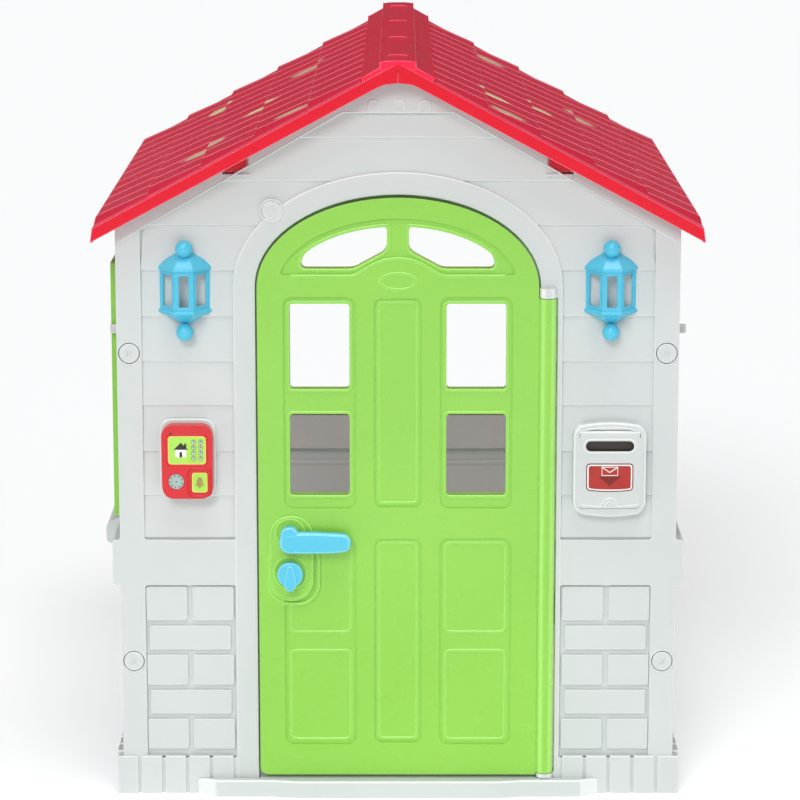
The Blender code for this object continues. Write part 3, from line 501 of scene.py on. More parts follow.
finishes = {
    # walls and small fittings: cool white polypropylene, soft sheen, and a paler painted highlight on rounded
    # rims so the relief reads
    "white": plain("whiteMouldedPolypropylene", "c8cdcc", "cdd2d1", satin, edge="f2f5f4",
                   edgeRange=squareEdges),
    # roof: crimson, with a painted pink highlight along the rounded sides of each rib, painted shade in deep
    # red on end faces and groove walls, and sunny weathered marks
    "roof": roofFinish({**glossy, "shade": "f41844", "tint": "f81c48", "ior": 1.38, "edge": "fa7c92",
                        "edgeRange": ribEdges, "endPaintedShade": "de0a28"}),
    # ridge cap: the roof's crimson without marks, so the cap reads as its own moulding, with the same painted
    # pink highlight along its rounded sides
    "ridge": plain("redMouldedRidge", "f61c44", "fa2048", glossy, ior=1.38, edge="fa7c92",
                   edgeRange=ribEdges),
    # door and shutters: fresh apple green, with a paler painted highlight on beads and rounded edges
    "green": plain("greenMouldedPolypropylene", "8bca48", "8fce4b", glossy, edge="b4f07c",
                   edgeRange=squareEdges),
    # lanterns: flat sky blue facets
    "blue": plain("blueMouldedPolypropylene", "4cbcdc", "54c4e2", glossy),
    # levers and knobs: the same blue, with a pale painted highlight along their rounded edges
    "blueRounded": plain("blueMouldedHandle", "4cbcdc", "54c4e2", glossy, edge="8ee2f6",
                         edgeRange=squareEdges),
    # behind the mail slot: a dull dark brown sheet, painted shade for the dark inside seen through the slot,
    # so the slot reads as deep
    "paintedSlotShade": plain("paintedSlotShadeSheet", "3a322a", "463c32", satin),
    # intercom case: polished ABS, the shiniest red on the house
    "intercomRed": plain("redPolishedAbs", "cc0a1a", "d20e1e", glossy, rough=(0.16, 0.24)),
    # printed labels: thin matt inks with a slight unevenness
    "lime": plain("limePrintedLabel", "a4dc4c", "b0e25c", satin, driftSize=0.02),
    "straw": plain("strawPrintedBorder", "efcf6c", "f4d97c", satin, driftSize=0.02),
    "labelRed": plain("redPrintedLabel", "a82018", "ae2820", satin, driftSize=0.03),
    "darkRed": plain("darkRedPrint", "78100c", "801612", satin),
    "inkWhite": plain("whitePrint", "f6f4f0", "fbfaf6", satin),
    "ink": plain("darkPrint", "26261f", "2e2c26", satin),
    "brownInk": plain("brownPrint", "b07a4a", "9c9a52", satin, driftSize=0.004),
    # speaker grille: quiet blue-grey ABS
    "grey": plain("greySatinAbs", "9db7b0", "a8beb8", satin),
    # keys: pale rubber, a little duller than the label round them
    "keyGrey": plain("greyKeyRubber", "c4ccc8", "d2d8d4", satin),
    # works inside: black shafts and speaker, dead matt dome, green board, bright zinc pins and cells
    "dark": plain("blackSatinAbs", "2b2d30", "34363a", satin),
    "rubber": plain("siliconeRubber", "3c3f42", "45484b", satin, rough=(0.55, 0.7)),
    "board": plain("solderResist", "2a6842", "33744c", satin, driftSize=0.012),
    "steel": plain("zincPlatedSteel", "b4b8be", "c4c8cc", satin, metallic=1.0, ior=1.5, rough=(0.28, 0.42)),
}
# CAD nodes that stay as they are, under covers and in hinges, and only get a better finish
keptNodes = {
    "steel": ("battery_left", "battery_right", "door_pin_lower", "door_pin_upper", "mailbox_hinge_pin"),
    "dark": ("handle_spindle", "lock_shaft", "speaker"),
    "rubber": ("button_dome",), "board": ("circuit_board",), "grey": ("battery_cover",),
    "intercomRed": ("intercom_back",),
}
for finishName, nodeNames in keptNodes.items():
    for nodeName in nodeNames:
        nodes[nodeName].data.materials.clear()
        nodes[nodeName].data.materials.append(finishes[finishName])
print("finishes:", len(finishes))


# Walls: posts, belts and skirts stand proud of lapped boards and of brick relief

wallLook = {
    "halfWidth": 0.410, "face": 0.487, "inner": 0.465, "post": 0.0365, "backing": (0.4765, 0.4800),
    "boardTop": 0.4812, "boardFoot": 0.4840, "boardSoft": 0.0022, "boardGap": -0.001,
    "boardEdges": (0.392, 0.4553, 0.5215, 0.5903, 0.6558, 0.7224, 0.7902, 0.8564, 0.9207, 0.9838, 1.0245),
    "belt": (0.320, 0.389), "beltProud": 0.0006, "skirtHigh": 0.058,
    "brickFoot": 0.0675, "brickTall": 0.0464, "brickLow": 0.0370, "mortar": 0.0078, "brickTop": 0.3175,
    "brickProud": 0.4846,
    "plankPitch": 0.0355, "plankWide": 0.0308, "soft": 0.0028,
    "roofLine": 1.0949, "slope": 0.5393, "underRoof": 0.007, "gableFlat": 1.080,
    "rakeFoot": 0.8308, "rakeFlat": 1.0200, "rakeFlatX": 0.080,
    "notch": (0.2155, 0.2530), "notchLow": 0.932, "rimX": 0.2395, "rimTall": 0.0035,
    "screwX": 0.392, "screwZ": (0.204, 0.669), "screwBore": 0.0157, "screwClear": 0.0175,
    "beltBump": 0.0115, "skirtSpan": (0.2430, 0.4210), "brickSpan": (0.2432, 0.3727),
}
doorway = {"half": 0.2075, "spring": 0.767, "rise": 0.135, "hingeEdge": 0.2325, "hingeTop": 0.7507,
           "trimHalf": 0.240, "trimRise": 0.168}


def gableZ(x):
    return min(wallLook["gableFlat"], wallLook["roofLine"] - wallLook["underRoof"]
               - wallLook["slope"] * abs(x))


def rakeX(z):
    # where the border's lower edge is at a height
    share = (z - wallLook["rakeFoot"]) / (wallLook["rakeFlat"] - wallLook["rakeFoot"])
    return between(wallLook["halfWidth"], wallLook["rakeFlatX"], share)


def rakeZ(x):
    share = (wallLook["halfWidth"] - abs(x)) / (wallLook["halfWidth"] - wallLook["rakeFlatX"])
    return between(wallLook["rakeFoot"], wallLook["rakeFlat"], min(share, 1.0))


def archAt(half, rise, count=36):
    return [(half * cos(pi * i / count), doorway["spring"] + rise * sin(pi * i / count))
            for i in range(count + 1)]


def doorwayEdge():
    right = [(doorway["hingeEdge"], 0.0), (doorway["hingeEdge"], doorway["hingeTop"]),
             (doorway["half"], doorway["hingeTop"])]
    return right + archAt(doorway["half"], doorway["rise"]) + [(-doorway["half"], 0.0)]


def notchedTop():
    # the top edge of a gable wall from +X to -X, with the two notches for the roof's lugs
    inner, outer = wallLook["notch"]
    flatX = (wallLook["roofLine"] - wallLook["underRoof"] - wallLook["gableFlat"]) / wallLook["slope"]
    right = [(wallLook["halfWidth"], gableZ(wallLook["halfWidth"])), (outer, gableZ(outer)),
             (outer, wallLook["notchLow"]), (inner, wallLook["notchLow"]), (inner, gableZ(inner)),
             (flatX, wallLook["gableFlat"])]
    return right + mirrored(right[::-1])


def slab(target, plane, out, outline, inner, outer, soft=None, holes=(), steps=3, lean=None):
    # a raised piece of a wall: depths are measured outwards from the middle of the house
    part = prism(plane, outline, out * inner, out * outer, holes)
    if lean is not None:
        for vert in part.verts:
            lean(vert)
    if soft:
        soften(part, soft, steps, notAt(plane, out * inner))
    return add(target, part)


def lappedBoard(target, plane, out, outline, low, high):
    # a board that leans out towards its lower edge
    top, foot = wallLook["boardTop"], wallLook["boardFoot"]
    axis = 1 if plane == "front" else 0

    def lean(vert):
        if abs(vert.co[axis]) > wallLook["backing"][1]:
            share = (high - vert.co.z) / (high - low)
            vert.co[axis] = out * between(top, foot, share)
    slab(target, plane, out, outline, wallLook["backing"][0] + 0.001, foot, wallLook["boardSoft"], lean=lean)


def gableBoards(target, out, innerAt):
    # boards between the posts, cut to the border's slope outside and to an opening inside
    edges = wallLook["boardEdges"]
    side = wallLook["halfWidth"] - wallLook["post"] - wallLook["boardGap"]
    for low, high in zip(edges, edges[1:]):
        high += 0.0006

        def outerAt(z):
            return min(side, rakeX(z) + 0.004)
        if innerAt(low) <= 0.0:
            outline = [(outerAt(low), low), (outerAt(high), high), (-outerAt(high), high),
                       (-outerAt(low), low)]
            lappedBoard(target, "front", out, outline, low, high)
            continue
        steps = 10
        inner = [(innerAt(between(high, low, i / steps)), between(high, low, i / steps))
                 for i in range(steps + 1)]
        outline = [(outerAt(low), low), (outerAt(high), high)] + inner
        lappedBoard(target, "front", out, outline, low, high)
        lappedBoard(target, "front", out, mirrored(outline)[::-1], low, high)


def brickwork(target, plane, out, span, pairs):
    # courses of short bricks with single long ones between them, five courses high
    long, short = wallLook["brickLow"], wallLook["brickTall"]
    joint = wallLook["mortar"]
    pitch = (span[1] - span[0] + joint) / pairs
    wide = pitch - joint
    half = (wide - joint) / 2
    foot = wallLook["brickFoot"]
    rise = long + short + 2 * joint
    low, high = out * (wallLook["backing"][0] + 0.001), out * wallLook["brickProud"]
    across = (pitch, 0.0, 0.0) if plane == "front" else (0.0, pitch, 0.0)
    top = foot + 2 * rise
    courses = ((0.0, half, foot, short, 2), (half + joint, half, foot, short, 2),
               (0.0045, wide - 0.009, foot + short + joint, long, 2),
               (0.0, half, top, wallLook["brickTop"] - top, 1),
               (half + joint, half, top, wallLook["brickTop"] - top, 1))
    for offset, length, base, tall, rows in courses:
        start = span[0] + offset
        brick = prism(plane, rounded((start, start + length), (base, base + tall), 0.003, 3), low, high)
        soften(brick, 0.0018, 4, notAt(plane, low))
        add(target, rowsOf(brick, pairs, across, rows, (0.0, 0.0, rise)))


def plankSkirt(target, plane, out, span, face):
    # upright planks with chamfered tops along the foot of a wall
    count = max(1, round((span[1] - span[0]) / wallLook["plankPitch"]))
    pitch = (span[1] - span[0]) / count
    wide = pitch * wallLook["plankWide"] / wallLook["plankPitch"]
    start = span[0] + (pitch - wide) / 2
    low, high = out * (face - 0.006), out * (face + 0.004)
    top = wallLook["skirtHigh"]
    plank = prism(plane, rounded((start, start + wide), (0.0, top), 0.002, 2), low, high)
    soften(plank, 0.0022, 3, notAt(plane, low))
    add(target, rowsOf(plank, count, (pitch, 0, 0) if plane == "front" else (0, pitch, 0)))


def gableWall(target, out):
    # what the front and the back share
    face, inner, half = wallLook["face"], wallLook["inner"], wallLook["halfWidth"]
    post = half - wallLook["post"]
    belt, soft = wallLook["belt"], wallLook["soft"]
    screwX, screwZ = wallLook["screwX"], wallLook["screwZ"]

    def offScrew(edge):
        middle = (edge.verts[0].co + edge.verts[1].co) / 2
        return all((abs(middle.x) - screwX) ** 2 + (middle.z - z) ** 2 > wallLook["screwClear"] ** 2
                   for z in screwZ)
    for hand in (-1, 1):
        def turned(points):
            return points if hand > 0 else mirrored(points)[::-1]
        trim = doorway["trimHalf"] - 0.002
        bump = half + wallLook["beltBump"]
        outline = [(trim, 0.0), (half, 0.0), (half, belt[0] - 0.003), (half + 0.002, belt[0]),
                   (bump - 0.003, belt[0]),
                   (bump, belt[0] + 0.003), (bump, belt[1] - 0.003), (bump - 0.003, belt[1]),
                   (half + 0.002, belt[1]),
                   (half, belt[1] + 0.003), (half, gableZ(half)), (post, gableZ(post)),
                   (post, belt[1] + 0.004),
                   (post - 0.001, belt[1] + 0.001), (post - 0.004, belt[1]), (trim, belt[1])]
        panel = rounded((trim + 0.001, post), (wallLook["skirtHigh"] - 0.004, belt[0]), 0.004, 4)
        bores = [ellipse(screwX, z, wallLook["screwBore"], count=32) for z in screwZ]
        frameWork = prism("front", turned(outline), out * inner, out * face,
                          holes=[turned(panel)] + [turned(bore) for bore in bores])
        soften(frameWork, soft, 4, lambda edge: notAt("front", out * inner)(edge) and offScrew(edge), over=50)
        soften(frameWork, 0.0007, 2, lambda edge: notAt("front", out * inner)(edge) and not offScrew(edge),
               over=50)
        add(target, frameWork)
        notch = wallLook["notch"][1]
        rake = [(notch, rakeZ(notch)), (half - 0.001, rakeZ(half)), (half - 0.001, gableZ(half)),
                (notch, gableZ(notch))]
        slab(target, "front", out, turned(rake), inner, face + 0.0006, 0.0022)
        lowest, rimFoot = wallLook["notchLow"], wallLook["notchLow"] - wallLook["rimTall"]
        rim = [(wallLook["notch"][0] - 0.002, rimFoot), (wallLook["rimX"], rimFoot), (notch, rakeZ(notch)),
               (notch, lowest),
               (wallLook["notch"][0] - 0.002, lowest)]
        slab(target, "front", out, turned(rim), inner, face + 0.0004, 0.0009)
        lower = [(doorway["trimHalf"] - 0.002, 0.0), (half + 0.0065, 0.0),
                 (half + 0.0065, wallLook["skirtHigh"] - 0.004),
                 (doorway["trimHalf"] - 0.002, wallLook["skirtHigh"] - 0.004)]
        slab(target, "front", out, turned(lower), inner, face - 0.002, 0.001)
        plankSkirt(target, "front", out, handed(wallLook["skirtSpan"], hand), face)
    notch = wallLook["notch"][0]
    flatX = (wallLook["roofLine"] - wallLook["underRoof"] - wallLook["gableFlat"]) / wallLook["slope"]
    middle = [(notch, rakeZ(notch)), (notch, gableZ(notch)), (flatX, wallLook["gableFlat"])]
    middle += mirrored(middle[::-1]) + [(-wallLook["rakeFlatX"], wallLook["rakeFlat"]),
                                        (wallLook["rakeFlatX"], wallLook["rakeFlat"])]
    slab(target, "front", out, middle, inner, face + 0.0006, 0.0022)
    line = [(half - 0.003, rakeZ(half) + 0.002), (wallLook["rakeFlatX"], wallLook["rakeFlat"] + 0.002)]
    line += mirrored(line[::-1])
    add(target, beads("front", out * (face - 0.0004), [line], 0.0016, closed=False))


def archInner(z):
    # half way between the doorway and the outer edge of its surround
    half, rise = 0.224, 0.152
    if z < doorway["spring"]:
        return half
    share = (z - doorway["spring"]) / rise
    return half * sqrt(1 - share * share) if share < 1 else 0.0


def frontWall():
    wall = bmesh.new()
    mailX = middleOf("mailbox_case")[0]
    hole = rectangle((mailX - 0.048, mailX + 0.048), (0.436, 0.560))
    outline = [(wallLook["halfWidth"], 0.0)] + notchedTop() + [(-wallLook["halfWidth"],
                                                                0.0)] + doorwayEdge()[::-1]
    slab(wall, "front", -1, outline, *wallLook["backing"], holes=[hole])
    gableWall(wall, -1)
    gableBoards(wall, -1, archInner)
    for hand in (-1, 1):
        brickwork(wall, "front", -1, handed(wallLook["brickSpan"], hand), 1)
    trim = [(doorway["trimHalf"], 0.0)] + archAt(doorway["trimHalf"], doorway["trimRise"])
    trim += [(-doorway["trimHalf"], 0.0)] + doorwayEdge()[::-1]
    slab(wall, "front", -1, trim, wallLook["inner"], wallLook["face"] + 0.0012, 0.0026, steps=4)
    # door stop behind the leaf
    innerHalf, outerHalf = doorway["half"] - 0.0050, doorway["half"] + 0.004
    stop = [(outerHalf, 0.0), (innerHalf, 0.0)] + archAt(innerHalf, doorway["rise"] - 0.0050)
    stop += [(-innerHalf, 0.0), (-outerHalf, 0.0)] + archAt(outerHalf, doorway["rise"] + 0.004)[::-1]
    add(wall, prism("front", stop, -0.4722, -0.4655))
    axis = middleOf("door_pin_upper", "xy")
    for low, high in ((doorway["hingeTop"] + 0.0005, 0.7660), (0.0255, 0.0325)):
        knuckle = prism("plan", ellipse(*axis, 0.0125), low, high)
        add(wall, soften(knuckle, 0.0012, 2))
        add(wall, prism("plan", rectangle((axis[0], doorway["hingeEdge"] + 0.003), (axis[1], -0.466)), low,
                        high))
    bump = beads("front", -(wallLook["face"] + 0.0004),
                 [[(-0.0425, 1.022), (-0.0425, 1.0315)] + ellipse(-0.035, 1.0315, 0.0075, count=9, start=180,
                                                                  end=0)
                  + [(-0.0275, 1.022)]], 0.0014, closed=False)
    add(wall, rowsOf(bump, 3, (0.037, 0.0, 0.0)))
    return whitePiece("front_wall_moulding", wall, "front_wall")


def backWall():
    wall = bmesh.new()
    look = {"half": 0.190, "z": (0.400, 0.750), "frame": 0.020}
    span = (-look["half"], look["half"])
    outline = [(wallLook["halfWidth"], 0.0)] + notchedTop() + [(-wallLook["halfWidth"], 0.0)]
    slab(wall, "front", 1, outline, *wallLook["backing"], holes=[rectangle(span, look["z"])])
    gableWall(wall, 1)

    def windowInner(z):
        return look["half"] + look["frame"] - 0.002 if z < look["z"][1] + look["frame"] else 0.0
    gableBoards(wall, 1, windowInner)
    frameOutline = rounded(grown(span, look["frame"]), grown(look["z"], look["frame"]), 0.010)
    slab(wall, "front", 1, frameOutline, wallLook["inner"], wallLook["face"] + 0.001, 0.0028,
         holes=[rounded(span, look["z"], 0.006)])
    belt = (-0.2400, 0.2400)
    slab(wall, "front", 1, rectangle(belt, wallLook["belt"]), wallLook["inner"],
         wallLook["face"] + wallLook["beltProud"], 0.0035)
    slab(wall, "front", 1, rectangle(belt, (0.0, 0.054)), wallLook["inner"], wallLook["face"] - 0.002, 0.001)
    plankSkirt(wall, "front", 1, (-0.2430, 0.2430), wallLook["face"])
    brickwork(wall, "front", 1, (-0.3715, 0.3715), 5)
    for rail in (0.290, 0.325):
        slab(wall, "front", -1, rectangle((-0.372, 0.372), (rail, rail + 0.006)), -0.4780, -0.4735, 0.0015)
    return whitePiece("back_wall_moulding", wall, "back_wall")


def sideWall(name, hand):
    wall = bmesh.new()
    look = {"end": 0.4645, "top": 0.866, "outer": 0.410, "inner": 0.388, "window": 0.200, "z": (0.410, 0.785),
            "frame": 0.012, "post": 0.024, "beltX": 0.4215, "skirtX": 0.421, "boards": 6}
    ends = (-look["end"], look["end"])
    shift = wallLook["face"] - look["outer"]      # the relief depths are the gable walls', moved in by this
    window = rectangle((-look["window"], look["window"]), look["z"])
    slab(wall, "side", hand, rectangle(ends, (0.0, look["top"])), wallLook["backing"][0] - shift,
         wallLook["backing"][1] - shift, holes=[window])
    relief = bmesh.new()
    edge = look["end"] - look["post"] - wallLook["boardGap"]
    pitch = (0.828 - 0.392) / look["boards"]
    frameEdge = look["window"] + look["frame"]
    for spanY in ((-edge, -frameEdge), (frameEdge, edge)):
        low, high = 0.3924, 0.3916 + pitch
        board = bmesh.new()
        lappedBoard(board, "side", hand, rectangle(spanY, (low, high)), low, high)
        add(relief, rowsOf(board, 1, (0, 0, 0), look["boards"], (0, 0, pitch)))
    brickwork(relief, "side", hand, (-edge, edge), 6)
    for vert in relief.verts:
        vert.co.x -= hand * shift
    add(wall, relief)
    slab(wall, "side", hand, rounded(grown((-look["window"], look["window"]), look["frame"]),
                                     grown(look["z"], look["frame"]), 0.006), look["inner"], look["outer"],
         0.0025, holes=[window])
    for end in (-1, 1):
        spanY = handed((look["end"] - look["post"], look["end"]), end)
        slab(wall, "side", hand, rectangle(spanY, (0.0, look["top"])), look["inner"], look["outer"], 0.0025)
    slab(wall, "side", hand, rectangle(ends, wallLook["belt"]), look["inner"], look["beltX"], 0.0035, steps=4)
    slab(wall, "side", hand, rectangle(ends, (0.828, look["top"])), look["inner"], look["outer"] + 0.0004,
         0.0025)
    slab(wall, "side", hand, rectangle(ends, (0.0, 0.054)), look["inner"], look["outer"] + 0.004, 0.001)
    plankSkirt(wall, "side", hand, ends, look["skirtX"] - 0.004)
    for end in (-1, 1):
        for low, high in ((0.3940, 0.4045), (0.7905, 0.8010)):
            spanY = handed((0.1955, 0.2115), end)
            knuckle = prism("side", rectangle(spanY, (low, high)), hand * 0.406, hand * 0.430)
            add(wall, soften(knuckle, 0.0015, 2))
    return whitePiece(name + "_moulding", wall, name)


frontWall()
backWall()
sideWall("left_wall", -1)
sideWall("right_wall", 1)
print("walls: boards, bricks and planks done")


# Small white pieces on the walls

def screwHeads():
    look = {"radius": 0.0145, "cross": (0.0105, 0.0021), "deep": 0.0014, "ring": 0.0168, "bead": 0.0009}
    for end, endName in ((-1, "front"), (1, "back")):
        low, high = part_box(f"corner_screw_{endName}_left_lower")
        x, z = middleOf(f"corner_screw_{endName}_left_lower")
        farX, farZ = middleOf(f"corner_screw_{endName}_right_upper")
        face = low.y if end < 0 else high.y
        head = soften(prism("front", ellipse(x, z, look["radius"], count=40), face, face - end * 0.0052),
                      0.0013, 3)
        holder = meshObject("head", head)
        for turn in (45, 135):
            bar = prism("front", rectangle((-look["cross"][0] / 2, look["cross"][0] / 2),
                                           (-look["cross"][1] / 2, look["cross"][1] / 2)),
                        -look["deep"], 0.004 + look["deep"])
            bmesh.ops.rotate(bar, verts=bar.verts, matrix=Matrix.Rotation(radians(turn), 3, "Y"))
            bmesh.ops.translate(bar, verts=bar.verts, vec=(x, face - (0.004 if end < 0 else 0.0), z))
            cutter = meshObject("slot", bar)
            cut = holder.modifiers.new("slot", "BOOLEAN")
            cut.operation, cut.object = "DIFFERENCE", cutter
            mesh = evaluatedMesh(holder)
            holder.modifiers.clear()
            holder.data = mesh
            dropObject(cutter)
        unit = bmesh.new()
        unit.from_mesh(holder.data)
        dropObject(holder)
        add(unit, beads("front", face - end * 0.0008, [ellipse(x, z, look["ring"], count=40)], look["bead"]))
        add(unit, prism("front", ellipse(x, z, 0.004, count=12), face - end * 0.005, 0.4470 * end))
        heads = rowsOf(unit, 2, (farX - x, 0, 0), 2, (0, 0, farZ - z))
        replaced = [f"corner_screw_{endName}_{hand}_{level}" for hand in ("left", "right")
                    for level in ("lower", "upper")]
        whitePiece(f"corner_screws_{endName}", heads, *replaced)


def archPlug():
    low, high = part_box("arch_plug")
    x, z, r = (low.x + high.x) / 2, (low.z + high.z) / 2, (high.x - low.x) / 2
    plug = soften(prism("front", ellipse(x, z, r, count=48), low.y - 0.0006, high.y), 0.0012, 3)
    add(plug, beads("front", low.y, [ellipse(x, z, r + 0.0022, count=48)], 0.0012))
    add(plug, beads("front", low.y - 0.0004, [ellipse(x, z, r - 0.0030, count=40)], 0.0006))
    whitePiece("arch_plug_cap", plug, "arch_plug")


def threshold():
    low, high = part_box("door_threshold")
    front, wide, dish = low.y, high.x, 0.150
    face = -(wallLook["face"] + 0.004)
    inner = doorway["half"] - 0.001
    plan = [(-wide, face), (-wide + 0.030, front + 0.006), (-dish - 0.035, front + 0.006), (-dish, front),
            (dish, front), (dish + 0.035, front + 0.006), (wide - 0.030, front + 0.006), (wide, face),
            (inner, face), (inner, high.y), (-inner, high.y), (-inner, face)]
    step = soften(prism("plan", plan, 0.0, high.z), 0.0035, 4, notAt("plan", 0.0))
    whitePiece("door_step", step, "door_threshold")


def windowLedge():
    low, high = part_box("window_ledge")
    belt, outer, board = -0.4218, low.x, high.x
    profile = [(belt, low.z), (outer + 0.005, low.z), (outer, low.z + 0.006), (outer, low.z + 0.0270),
               (outer + 0.006, low.z + 0.0340), (board - 0.013, high.z), (board, high.z), (board, 0.3893),
               (belt, 0.3893)]
    ledge = soften(prism("front", profile, low.y, high.y), 0.0035, 4, over=20,
                   test=lambda edge: abs(edge.verts[0].co.y - edge.verts[1].co.y) > 0.1 and
                   max(vert.co.x for vert in edge.verts) < belt - 0.002)
    whitePiece("window_sill", ledge, "window_ledge")


def catches():
    for hand in ("left", "right"):
        for end in ("front", "rear"):
            low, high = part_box(f"shutter_catch_{hand}_{end}")
            middle = (low.z + high.z) / 2
            sideways = (low.x + 0.0055, high.x) if hand == "left" else (low.x, high.x - 0.0055)
            post = prism("side", rounded((low.y, high.y), (middle - 0.0068, middle + 0.0068), 0.003, 4),
                         *sideways)
            soften(post, 0.0028, 4, over=50)
            whitePiece(f"catch_{hand}_{end}", post, f"shutter_catch_{hand}_{end}")


def shutters():
    look = {"border": 0.022, "slatPitch": 0.0155, "slatTilt": 28, "slatDeep": 0.0062, "slatThick": 0.0026,
            "barrel": 0.0075}
    for joint in frame["joints"]:
        if not joint["child"].startswith("shutter"):
            continue
        name = joint["child"]
        low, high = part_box(name)
        low, high = Vector((low.x, low.y, low.z + 0.0105)), Vector((high.x, high.y, high.z - 0.0105))
        middle = (low.x + high.x) / 2
        outward = 1 if middle > 0 else -1
        inner = sorted((middle - outward * 0.006, middle + outward * 0.0020))
        hinge = 0.2035 if (low.y + high.y) / 2 > 0 else -0.2035
        spanY = (low.y, high.y)
        frameLeaf = prism("side", rounded(spanY, (low.z, high.z), 0.006, 4), *inner,
                          holes=[rounded(grown(spanY, -look["border"]),
                                         grown((low.z, high.z), -look["border"]), 0.004, 3)])
        soften(frameLeaf, 0.0020, 3)
        slatLow = low.z + look["border"] + look["slatPitch"] / 2
        count = int((high.z - look["border"] - slatLow) / look["slatPitch"]) + 1
        slat = prism("side", rectangle(grown(spanY, -look["border"] + 0.002),
                                       (-look["slatThick"] / 2, look["slatThick"] / 2)),
                     -look["slatDeep"] / 2, look["slatDeep"] / 2)
        soften(slat, 0.0008, 2)
        tilt = radians(look["slatTilt"]) * (1 if middle > 0 else -1)
        bmesh.ops.rotate(slat, verts=slat.verts, matrix=Matrix.Rotation(tilt, 3, "Y"))
        bmesh.ops.translate(slat, verts=slat.verts, vec=(sum(inner) / 2, 0, slatLow))
        add(frameLeaf, rowsOf(slat, 1, (0, 0, 0), count, (0, 0, look["slatPitch"])))
        barrel = soften(prism("plan", ellipse(middle, hinge, look["barrel"], count=24), low.z, high.z), 0.001,
                        2)
        add(frameLeaf, barrel)
        add(frameLeaf, prism("plan", ellipse(middle, hinge, 0.003, count=16), low.z - 0.0105,
                             high.z + 0.0105))
        finishPiece(name + "_leaf", frameLeaf, finishes["green"], name, [name])


screwHeads()
archPlug()
threshold()
windowLedge()
catches()
shutters()
print("fittings: screws, plug, step, sill, catches and shutters done")


# Roof: five tiled courses a side between plain sloping borders, fascias, and the ridge cap

roofLook = {
    "line": 1.0949, "slope": 0.5393, "half": 0.517, "eaveX": 0.4435, "eaveLow": 0.836, "fascia": 0.0197,
    "thick": 0.012, "apex": 1.0915, "skin": 0.006, "first": 0.0525, "last": 0.4395, "courses": 5,
    "rise": 0.0015, "step": 0.0085, "ribPitch": 0.090, "groove": 0.0085, "plainFrom": 0.450,
    "borderFoot": 0.500,
    "lug": (0.2175, 0.2510), "lugLow": 0.934, "soft": 0.0016,
}


def roofZ(x, drop=0.0):
    return roofLook["line"] - drop - roofLook["slope"] * abs(x)


def roofHalf(name, hand):
    roof = bmesh.new()
    look = roofLook
    seam = 0.0004

    def turned(points):
        return [(hand * x, z) for x, z in points]
    under = [(look["eaveX"] - 0.007, roofZ(look["eaveX"] - 0.007, look["skin"])), (0.0220, 1.077),
             (seam, 1.083)]
    skin = [(seam, look["apex"]), (0.0062, look["apex"]), (look["last"] + 0.001, roofZ(look["last"] + 0.001)),
            (look["eaveX"], look["eaveLow"]), (look["eaveX"] - 0.005, look["eaveLow"] + 0.001)] + under
    add(roof, soften(prism("front", turned(skin), -look["half"] + 0.001, look["half"] - 0.001), 0.0012, 2,
                     over=40))

    pitchX = (look["last"] - look["first"]) / look["courses"]
    tile = [(look["first"], roofZ(look["first"], 0.003)),
            (look["first"], roofZ(look["first"]) + look["rise"]),
            (look["first"] + pitchX, roofZ(look["first"] + pitchX) + look["step"]),
            (look["first"] + pitchX, roofZ(look["first"] + pitchX, 0.003))]
    step = (hand * pitchX, 0.0, -look["slope"] * pitchX)
    wide = look["ribPitch"] - look["groove"]
    start = -look["plainFrom"] + look["groove"] / 2
    shape = prism("front", turned(tile), start, start + wide)
    soften(shape, 0.0024, 4)
    add(roof, rowsOf(shape, 10, (0.0, look["ribPitch"], 0.0), look["courses"], step))
    for end in (-1, 1):
        inner, outer = look["plainFrom"] + look["groove"] / 2, look["borderFoot"]
        shape = prism("front", turned(tile), *sorted((end * inner, end * outer)))
        for vert in shape.verts:
            if abs(vert.co.y) > outer - 0.001:
                vert.co.z = min(vert.co.z, roofZ(vert.co.x) + 0.0006)
        bmesh.ops.bisect_plane(shape, geom=shape.verts[:] + shape.edges[:] + shape.faces[:],
                               plane_co=(0, end * (inner + 0.012), 0), plane_no=(0, 1, 0))
        for vert in shape.verts:
            if abs(abs(vert.co.y) - inner - 0.012) < 1e-5 and vert.co.z > roofZ(vert.co.x):
                share = (abs(vert.co.x) - look["first"]) / pitchX
                vert.co.z = roofZ(vert.co.x) + between(look["rise"], look["step"], share)
        soften(shape, 0.0018, 3)
        add(roof, rowsOf(shape, 1, (0, 0, 0), look["courses"], step))

    curve = [(x, roofZ(0.030, look["fascia"]) + 0.0070 * (1 - (x / 0.030) ** 2))
             for x in (0.024, 0.018, 0.010, seam)]
    band = [(seam, look["apex"]), (0.0062, look["apex"]), (0.4400, roofZ(0.4400)),
            (look["eaveX"], look["eaveLow"]),
            (0.030, roofZ(0.030, look["fascia"]))] + curve
    for end in (-1, 1):
        levels = sorted((end * look["half"], end * (look["half"] - look["thick"])))
        add(roof, soften(prism("front", turned(band), *levels), 0.0022, 4, over=20,
                         test=lambda edge: all(abs(vert.co.x) > seam + 1e-4 for vert in edge.verts)))
        lugX = tuple(sorted((hand * look["lug"][0], hand * look["lug"][1])))
        lugY = sorted((end * 0.4830, end * 0.468))
        lug = prism("front", rectangle(lugX, (look["lugLow"], roofZ(look["lug"][1], 0.003))), *lugY)
        add(roof, soften(lug, 0.0020, 3))
    return finishPiece(name + "_shell", roof, finishes["roof"], "house", [name])


